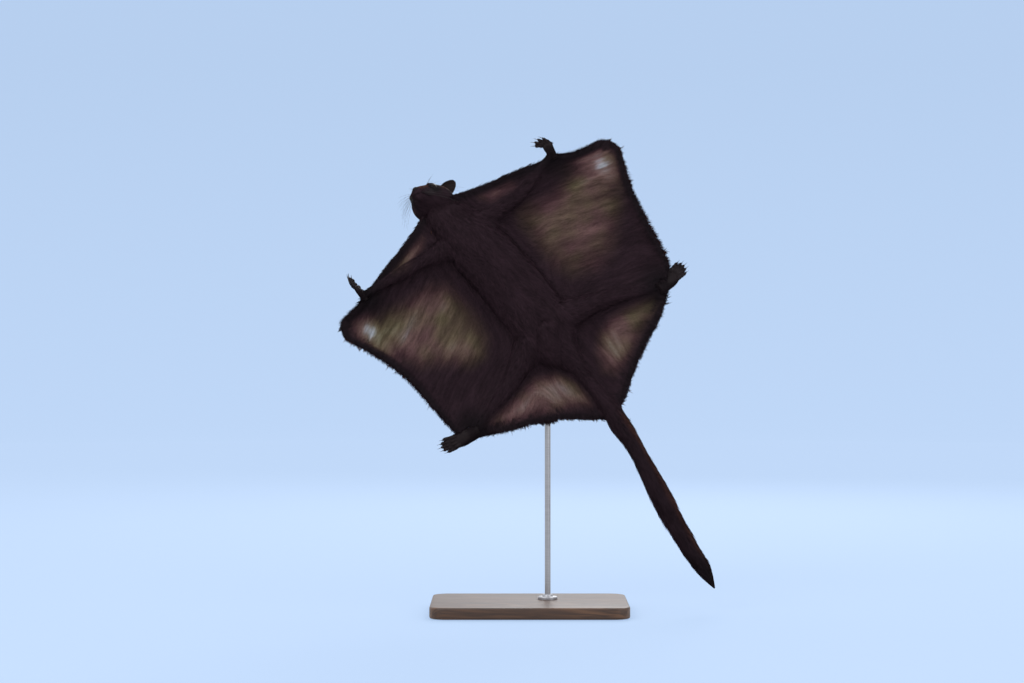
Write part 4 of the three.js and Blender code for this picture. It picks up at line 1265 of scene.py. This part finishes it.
def paw_pieces(name, materials):
    plan = PAWS[name]
    is_hand = name.startswith("hand")
    palm, digits = (PALM, FINGERS) if is_hand else (SOLE, TOES)
    length, width, thick, heel = (palm[key] for key in ("length", "width", "thick", "heel"))
    axes = axes_of(plan["forward"], plan["up"])
    rows = [
        [-9, 0, 0, heel * 0.95, heel * 0.8, heel * 0.8], [-4, 0, 0, heel, heel * 0.85, heel * 0.85],
        [length * 0.2, 0, 0, mix(heel, width, 0.35), thick * 1.1, thick * 1.15],
        [length * 0.62, 0, 0, width * 0.97, thick * 0.95, thick],
        [length * 0.95, 0, 0, width * 0.92, thick * 0.6, thick * 0.62],
        [length * 1.04, 0, 0, width * 0.7, thick * 0.3, thick * 0.3],
    ]
    forms, horns = [tube(rows, 20, 24)], []
    for k, y in enumerate([-0.62, -0.2, 0.25, 0.65]):
        forms.append(ball([length * (0.8 - 0.06 * (k in (0, 3))), y * width, -thick * 0.75],
                          [length * 0.1 + 1.2, width * 0.22, thick * 0.42], 14, 10))
    if is_hand:
        forms += [ball([length * 0.18, y * width, -thick * 0.85], [4.6, width * 0.36, 2.6], 14, 10)
                  for y in (-0.4, 0.42)]
    count = len(digits["turn"])
    for k, (turn, reach) in enumerate(zip(digits["turn"], digits["length"])):
        across = mix(-1, 1, k / (count - 1)) * (width - digits["radius"])
        short = abs(across / width) * length * 0.08
        root = [length * 0.96 - short, across, 0]
        flesh, pads, horn = digit_rows(root, turn + plan["bend"], reach, digits["radius"])
        forms += [tube(flesh, 14, 24)] + pads
        horns.append(tube(horn, 10, 12))
    flesh_points, flesh_faces = joined(forms)
    in_animal = np.asarray(plan["place"]) + flesh_points @ axes
    paw = fused("paw_" + name, (in_animal, flesh_faces), 0.8)
    edges = numbers(paw.data.edges, "vertices", 2, np.int32)
    put_points(paw, relaxed(points_of(paw), edges, 5, strength=0.5))
    paw.data.materials.append(materials["paw"])
    paw.data.shade_smooth()
    unwrap(paw)
    finished(paw, "paw", name)
    horn_points, horn_faces = joined(horns)
    in_room = to_room(np.asarray(plan["place"]) + horn_points @ axes)
    finished(new_piece("claws_" + name, in_room, horn_faces, materials["claw"]), "paw")

    points, normals = points_of(paw), normals_of(paw)
    local = (points - plan["place"]) @ axes.T
    hind = np.sign(axes[1][0]) * (normals @ axes.T)[:, 1]
    ankle = (1 - smooth(local[:, 0], 14, 36)) * smooth(-hind, 0.2, 0.8) * (not is_hand)
    heel_fur = 1 - smooth(local[:, 0], 1, 12)
    way = unit(axes[0] + np.array([[-0.8, 0, 0]]) * ankle[:, None])
    up = (normals @ axes.T)[:, 2]
    surface = Surface(
        paw, lie=along_skin(way, normals),
        coat=np.interp(local[:, 0], [-8, length, length * 1.5], [7.0, 4.5, 3.2]) + 5 * ankle,
        depth=0.7 + 2.0 * ankle,
        marks=np.tile([0.2, 0.0, 1.0, 0.5], (len(points), 1)))
    furred = surface.where(np.maximum(smooth(up, -0.45, 0.1) + heel_fur, 1.5 * ankle))
    furred *= surface.where((local[:, 0] < length + 0.85 * max(digits["length"])).astype(float))
    lying_coat("coat_" + name, "paw", materials["coat"], surface, furred, 70 + len(name),
               **COATS["hand" if is_hand else "foot"])


def eye_pieces(materials):
    """Each eye as one smooth ball with a slightly raised cornea."""
    for name, side in (("left", 1), ("right", -1)):
        points, faces = ball([0, 0, 0], [1, 1, 1], 48, 32)
        bulge = 1 + 0.035 * smooth(points[:, :1], 0.55, 1.0)
        axes = axes_of(mirrored(EYE["facing"], side), [0, 0, 1])
        local = mirrored(EYE["place"], side) + (points * bulge * EYE["radius"]) @ axes
        piece = new_piece("eyeball_" + name, to_room(head_to_animal(local)), faces, materials["eye"])
        store(piece.data, "iris", smooth(points[:, 0], 0.80, 0.9))
        finished(piece, "eye", "eye_" + name)


def eye_material():
    """A wet, nearly black eye with a dark brown iris round a wide pupil."""
    material, tree, shader = new_material("wet eye", Roughness=0.04, Specular_IOR_Level=0.12)
    put(tree, shader, Base_Color=ramp(
        tree, attribute(tree, "iris", "Fac"),
        [(0.0, (0.006, 0.003, 0.003)), (0.45, (0.024, 0.009, 0.004)), (0.8, (0.006, 0.003, 0.002)),
         (1.0, (0.001, 0.001, 0.001))]))
    return material


def nose_piece(materials):
    """The bare nose pad, with its nostrils and the groove between them."""
    points, faces = ball([0, 0, 0], [1, 1, 1], 72, 48)
    points = np.array(NOSE["place"]) + points[:, [2, 0, 1]] * [4.2, 6.2, 4.6]
    settled = settle(points, 0.0, nose_field, 12)
    finished(new_piece("nose_pad", to_room(head_to_animal(settled)), faces, materials["nose"]), "paw")


def ear_piece(name, side, materials):
    """A thin cupped ear with a fold at its root, furred behind."""
    up_steps, across_steps = 26, 18
    t, s = np.meshgrid(np.linspace(0, 1, up_steps), np.linspace(-1, 1, across_steps), indexing="ij")
    wide = EAR["width"] * np.sqrt(np.maximum(np.sin(np.pi * mix(0.2, 0.985, t)), 0.02))
    hollow = EAR["cup"] * mix(1.15, 0.45, t) * (1 - s**2) * np.minimum(wide / EAR["width"], 1)
    fold = 1.6 * np.exp(-((s + 0.45) / 0.16)**2) * np.exp(-((t - 0.24) / 0.2)**2)
    fold += 0.25 * np.sin(9 * np.pi * t) * (1 - s**2) * (1 - t)
    front = np.stack([EAR["height"] * mix(-0.16, 1, t), wide * s, -hollow + fold], -1)
    front[..., 0] += 0.35 * np.sin(7 * s) * t
    shell = EAR["thick"] * np.sqrt(np.maximum(1 - s**2, 0)) * np.sqrt(np.clip((1 - t) * 8, 0, 1))
    rear = front.copy()
    rear[..., 2] = -hollow - shell - 0.25
    axes = axes_of(mirrored(EAR["up"], side), mirrored(EAR["facing"], side))
    rows = np.concatenate([front, rear[:, ::-1]], 1)
    faces = closed_faces(up_steps, rows.shape[1])
    local = mirrored(EAR["place"], side) + rows.reshape(-1, 3) @ axes
    piece = new_piece("ear_skin_" + name, to_room(head_to_animal(local)), faces, materials["ear"])
    mesh = bmesh.new()
    mesh.from_mesh(piece.data)
    bmesh.ops.recalc_face_normals(mesh, faces=mesh.faces)
    mesh.to_mesh(piece.data)
    mesh.free()
    unwrap(piece)
    finished(piece, "ear", "ear_" + name)

    points, normals = points_of(piece), normals_of(piece)
    behind = -(normals @ (axes[2] @ HEAD_AXES))
    height = ((animal_to_head(points) - mirrored(EAR["place"], side)) @ axes[0]) / EAR["height"]
    way = np.broadcast_to(axes[0] @ HEAD_AXES, points.shape)
    surface = Surface(
        piece, lie=along_skin(way, normals), coat=5.0 - 3.2 * smooth(height, 0.6, 0.95),
        depth=np.full(len(points), 0.5), marks=np.tile([0.3, 0.0, 0.92, 0.5], (len(points), 1)))
    density = surface.where(mix(0.05, 1.0, smooth(behind, -0.2, 0.5)))
    lying_coat("coat_ear_" + name, "ear", materials["coat"], surface, density, 60 + side, **COATS["ear"])


def whiskers(materials, surface):
    """Stiff whiskers from the pads and the brows, each a fine tapered hair."""
    random = np.random.default_rng(5)
    forms = []
    for side in (-1, 1):
        for row in range(4):
            for k in range(5):
                root = [-5.5 - 3.0 * k + row * 0.6, (9.5 + 1.1 * k) * side, -1.6 - 2.1 * row]
                way = unit([0.25 - 0.22 * k, (0.95 + 0.05 * k) * side, 0.28 - 0.22 * row])
                forms.append((root, way, 26 + 6.5 * k + random.uniform(-3, 3)))
        for k in range(3):
            forms.append(([-25 + 2.5 * k, 14 * side, 15.5], unit([0.1, 0.55 * side, 0.8]), 22 - 3 * k))
    hairs = []
    for root, way, length in forms:
        start = head_to_animal(np.array([root]))
        triangle, weights = surface.nearest(start)
        foot = surface.at(triangle, weights)[0]
        run = way @ HEAD_AXES
        droop = np.array([-0.55, 0, 0.0]) + random.normal(0, 0.08, 3)
        hairs.append(tube([
            list(foot + run * length * s + droop * length * s**2 * 0.5) + [mix(0.2, 0.05, s)] * 3
            for s in np.linspace(-0.03, 1, 7)
        ], 5, 10))
    points, faces = joined(hairs)
    finished(new_piece("whiskers", to_room(points), faces, materials["whisker"]), "fur")


# The stand: a flat base with a moulded edge, the rod and its collar.
def turned_points(x, y, profile, sides):
    """Rings of points round x and y from rows of [radius, height], in metres."""
    return [[x + r * math.cos(a), y + r * math.sin(a), z]
            for r, z in profile for a in 2 * np.pi * np.arange(sides) / sides]


def shade_by_angle(piece, degrees=35):
    mesh = piece.data
    mesh.shade_smooth()
    sharp = bmesh.new()
    sharp.from_mesh(mesh)
    for edge in sharp.edges:
        if len(edge.link_faces) == 2 and edge.calc_face_angle() > math.radians(degrees):
            edge.smooth = False
    sharp.to_mesh(mesh)
    sharp.free()


def arc(centre, radius, start_deg, end_deg, steps):
    turn = np.radians(np.linspace(start_deg, end_deg, steps))
    return [[centre[0] + radius * math.cos(a), centre[1] + radius * math.sin(a)] for a in turn]


def corners_of(node):
    """A node's lowest and highest corner, in metres."""
    return (np.array(corner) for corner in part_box(node))


def plinth_piece(material):
    """The flat base: rounded corners, and a small round along its lower and upper edges."""
    low, high = corners_of("stand_base")
    corner, bevel = 0.026, 0.003
    half = (high - low)[:2] / 2
    outline = []
    for turn, (sx, sy) in enumerate([(1, 1), (-1, 1), (-1, -1), (1, -1)]):
        centre = [sx * (half[0] - corner), sy * (half[1] - corner)]
        outline += arc(centre, corner, 90 * turn, 90 * turn + 90, 14)
    outline = np.array(outline)
    profile = [(bevel, low[2])]
    profile += [(bevel * (1 - math.sin(a)), bevel * (1 - math.cos(a))) for a in np.radians([20, 45, 70, 90])]
    profile += [(bevel * (1 - math.cos(a)), high[2] - bevel + bevel * math.sin(a))
                for a in np.radians([0, 20, 45, 70, 90])]
    rings = [np.column_stack([outline * (1 - inset / half), np.full(len(outline), z)])
             for inset, z in profile]
    plinth = new_piece("plinth", np.concatenate(rings), closed_faces(len(rings), len(outline)), material,
                       smooth_shaded=False)
    shade_by_angle(plinth, 50)
    finished(plinth, "stand_wood", "stand_base")


def steel_pieces(material):
    """The rod, and the collar that holds it on the base."""
    low, high = corners_of("stand_rod")
    x, y = (low + high)[:2] / 2
    radius = (high - low)[0] / 2
    chamfer = 0.001
    profile = [[radius, low[2]], [radius, high[2] - chamfer], [radius - chamfer, high[2]]]
    rod = new_piece("rod", turned_points(x, y, profile, TURNED_SIDES),
                    closed_faces(len(profile), TURNED_SIDES), material, smooth_shaded=False)
    shade_by_angle(rod)
    finished(rod, "stand_steel", "stand_rod")

    low, high = corners_of("stand_collar")
    outer = (high - low)[0] / 2
    inner = radius + 0.0003
    edge = 0.0018
    profile = [[inner, low[2]], [outer, low[2]], [outer, high[2] - 3 * edge]]
    profile += [[outer - edge + r, z] for r, z in arc([0, high[2] - 3 * edge], edge, 0, 90, 6)]
    profile += [[inner + 0.004, high[2] - 2 * edge], [inner + 0.003, high[2]], [inner, high[2]]]
    collar = new_piece("collar", turned_points(x, y, profile, TURNED_SIDES),
                       ring_faces(len(profile), TURNED_SIDES, looped=True), material, smooth_shaded=False)
    shade_by_angle(collar)
    finished(collar, "stand_steel", "stand_collar")


# The studio: a pale sweep all round, soft lamps and the camera.
def studio_camera(scene):
    camera = bpy.data.objects.new("camera", bpy.data.cameras.new("camera"))
    camera.data.sensor_width = CAMERA["sensor"]
    camera.data.lens = CAMERA["lens"]
    camera.location = CAMERA["place"]
    camera.rotation_euler = (math.pi / 2, 0, 0)
    camera.data.clip_end = 60
    scene.collection.objects.link(camera)
    scene.camera = camera


def studio_sweep():
    """A floor that curves up into a wall all round, a millimetre below the stand."""
    floor, flat, bend, sides = -0.001, 7.0, 2.0, 96
    profile = [[radius, floor] for radius in (0.02, 1.5, 4.0, flat)]
    profile += [[flat + r, 1.999 + z] for r, z in arc([0, 0], bend, -88, 0, 14)] + [[9.0, 9.0]]
    finish, _, _ = new_material(
        "studio sweep", Base_Color=(0.20, 0.23, 0.28, 1), Roughness=0.9, Specular_IOR_Level=0.05,
        Emission_Color=(0.34, 0.47, 0.67, 1), Emission_Strength=0.95)
    faces = ring_faces(len(profile), sides) + [tuple(range(sides))]
    sweep = new_piece("sweep", turned_points(0, 0, profile, sides), faces, finish)
    sweep.visible_diffuse = False
    sweep.visible_glossy = False
    sweep.visible_shadow = False


def studio_light(scene):
    """A soft sky, brighter above, and three broad lamps that face the model."""
    world = bpy.data.worlds.new("studio light")
    world.use_nodes = True
    tree = world.node_tree
    way = add(tree, "TexCoord").outputs["Generated"]
    height = put(tree, add(tree, "SeparateXYZ"), Vector=way).outputs["Z"]
    level = put(tree, add(tree, "MapRange"), Value=height, From_Min=-1.0, From_Max=1.0).outputs[0]
    sky = ramp(tree, level, [
        (0.1, (0.36, 0.37, 0.40)), (0.5, (0.74, 0.77, 0.82)), (0.85, (1.0, 1.03, 1.08))])
    put(tree, tree.nodes["Background"], Color=sky, Strength=1.0)
    scene.world = world
    for name, place, size, power in LAMPS:
        lamp = bpy.data.lights.new(name, "AREA")
        lamp.size = size
        lamp.energy = power
        holder = bpy.data.objects.new(name, lamp)
        holder.location = place
        aim = np.array([-0.03, 0, 0.5]) - np.array(place)
        down = math.atan2(math.hypot(aim[0], aim[1]), -aim[2])
        holder.rotation_euler = (down, 0, math.atan2(-aim[0], aim[1]))
        scene.collection.objects.link(holder)


def studio():
    scene = bpy.context.scene
    scene.view_settings.view_transform = "Standard"
    studio_camera(scene)
    studio_sweep()
    studio_light(scene)


def all_materials():
    markings, streaks = markings_group(), streaks_group()
    return {
        "skin": skin_material(markings, streaks),
        "coat": coat_material(markings),
        "paw": speckled("paw leather", (0.010, 0.007, 0.008), (0.020, 0.013, 0.014), scale=900.0,
                        roughness=(0.6, 0.85), relief=0.12, Specular_IOR_Level=0.12),
        "claw": speckled("claw horn", (0.010, 0.008, 0.008), (0.05, 0.035, 0.028), scale=500.0,
                         roughness=(0.3, 0.45), Specular_IOR_Level=0.3),
        "ear": speckled("ear skin", (0.010, 0.006, 0.006), (0.022, 0.013, 0.012), scale=400.0,
                        roughness=(0.65, 0.85), relief=0.1, Specular_IOR_Level=0.1),
        "nose": speckled("nose skin", (0.006, 0.004, 0.004), (0.016, 0.010, 0.010), scale=1500.0,
                         roughness=(0.42, 0.6), relief=0.06, Specular_IOR_Level=0.15),
        "whisker": speckled("whisker hair", (0.004, 0.003, 0.003), (0.012, 0.009, 0.009), scale=200.0,
                            roughness=(0.35, 0.5)),
        "eye": eye_material(),
        "wood": wood_material(),
        "steel": steel_material(),
    }


def bare_places(local, on_head):
    """1 where the head has no hair: on the eyes and the nose pad, and nearly so on the lips."""
    bare = np.zeros(len(local))
    for side in (-1, 1):
        distance, _ = eye_angles(local, side)
        bare = np.maximum(bare, (distance < EYE["radius"] + 0.7).astype(float))
    bare = np.maximum(bare, (nose_field(local) < 0.5).astype(float))
    return np.maximum(bare, 0.8 * mouth_line(local, 1.0) * on_head)


def coated_skin(materials):
    """The skin, finished and ready to plant hair on, with how thick its flesh is and where its head is."""
    skin, thick, on_head = skin_piece()
    skin.data.materials.append(materials["skin"])
    skin.data.shade_smooth()
    unwrap(skin)
    points, normals = points_of(skin), normals_of(skin)
    edges = numbers(skin.data.edges, "vertices", 2, np.int32)
    tree = tree_of(points, triangles_of(skin.data))
    marks = marks_of(points, normals, edges, thick, on_head, tree)
    store_marks(skin.data, marks)
    store(skin.data, "streak", streaks_of(points))
    store(skin.data, "lie_place", lie_places(points))
    finished(skin, "fur", "tail_brush", *FLESH)

    face = face_length(animal_to_head(points)[:, 0])
    coat = np.clip(5.0 + 0.16 * thick, 5, 14) * mix(1.0, 1.25, marks[:, 0])
    near_rim = (1 - smooth(thick, 10, 16)) * (1 - smooth(free_edge(points[:, :2])[0], 5, 20))
    coat *= mix(1, 0.5, near_rim)
    coat = mix(coat, face * mix(0.4, 1, off_eyes(animal_to_head(points))), on_head)
    depth = mix(coat_depth(thick), FACE_DEPTH * face, on_head)
    lie = lie_of(points, normals, on_head)
    return Surface(skin, marks=marks, lie=lie, coat=coat, depth=depth), thick, on_head


def body_coats(materials, surface, thick, on_head):
    """The lying coat of the trunk, the membranes with their fringes, and the head."""
    points = surface.points
    local = animal_to_head(points)
    rim = free_edge(points[:, :2])[0]
    covered = (1 - bare_places(local, on_head)) * (points[:, 0] > -300)
    covered *= np.where(thick < 12, mix(0.08, 1, smooth(rim, 3, 9)), 1)
    head = on_head > 0.5
    web = (thick < 11) & ~head
    trunk = ~web & ~head
    back_side = surface.fields["marks"][:, 0]
    left = off_middle(points) > 0

    def plant(name, slot, kind, seed, share):
        density = surface.where(share * covered)
        lying_coat(name, slot, materials["coat"], surface, density, seed, **COATS[kind])

    plant("coat_back", "fur", "back", 31, trunk * back_side)
    plant("coat_belly", "fur", "belly", 32, trunk * (1 - back_side))
    for side, half, seed in (("left", left, 33), ("right", ~left, 35)):
        plant("coat_web_back_" + side, "membrane", "web_back", seed, web * half * back_side)
        plant("coat_web_belly_" + side, "membrane", "web_belly", seed + 1, web * half * (1 - back_side))
        fringe("fringe_" + side, materials["coat"], surface, side, seed + 10)
    plant("coat_head", "fur", "head", 37, head * np.interp(local[:, 0], [-80, -40, -10], [1.0, 1.6, 3.5]))


def main():
    studio()
    materials = all_materials()
    surface, thick, on_head = coated_skin(materials)
    body_coats(materials, surface, thick, on_head)
    tail_coat("coat_tail_front", materials["coat"], surface, 15000, 38, 0.0, 0.45)
    tail_coat("coat_tail_rear", materials["coat"], surface, 15000, 39, 0.45, 0.93)
    for name in PAWS:
        paw_pieces(name, materials)
    eye_pieces(materials)
    nose_piece(materials)
    for name, side in (("left", 1), ("right", -1)):
        ear_piece(name, side, materials)
    whiskers(materials, surface)
    plinth_piece(materials["wood"])
    steel_pieces(materials["steel"])


main()
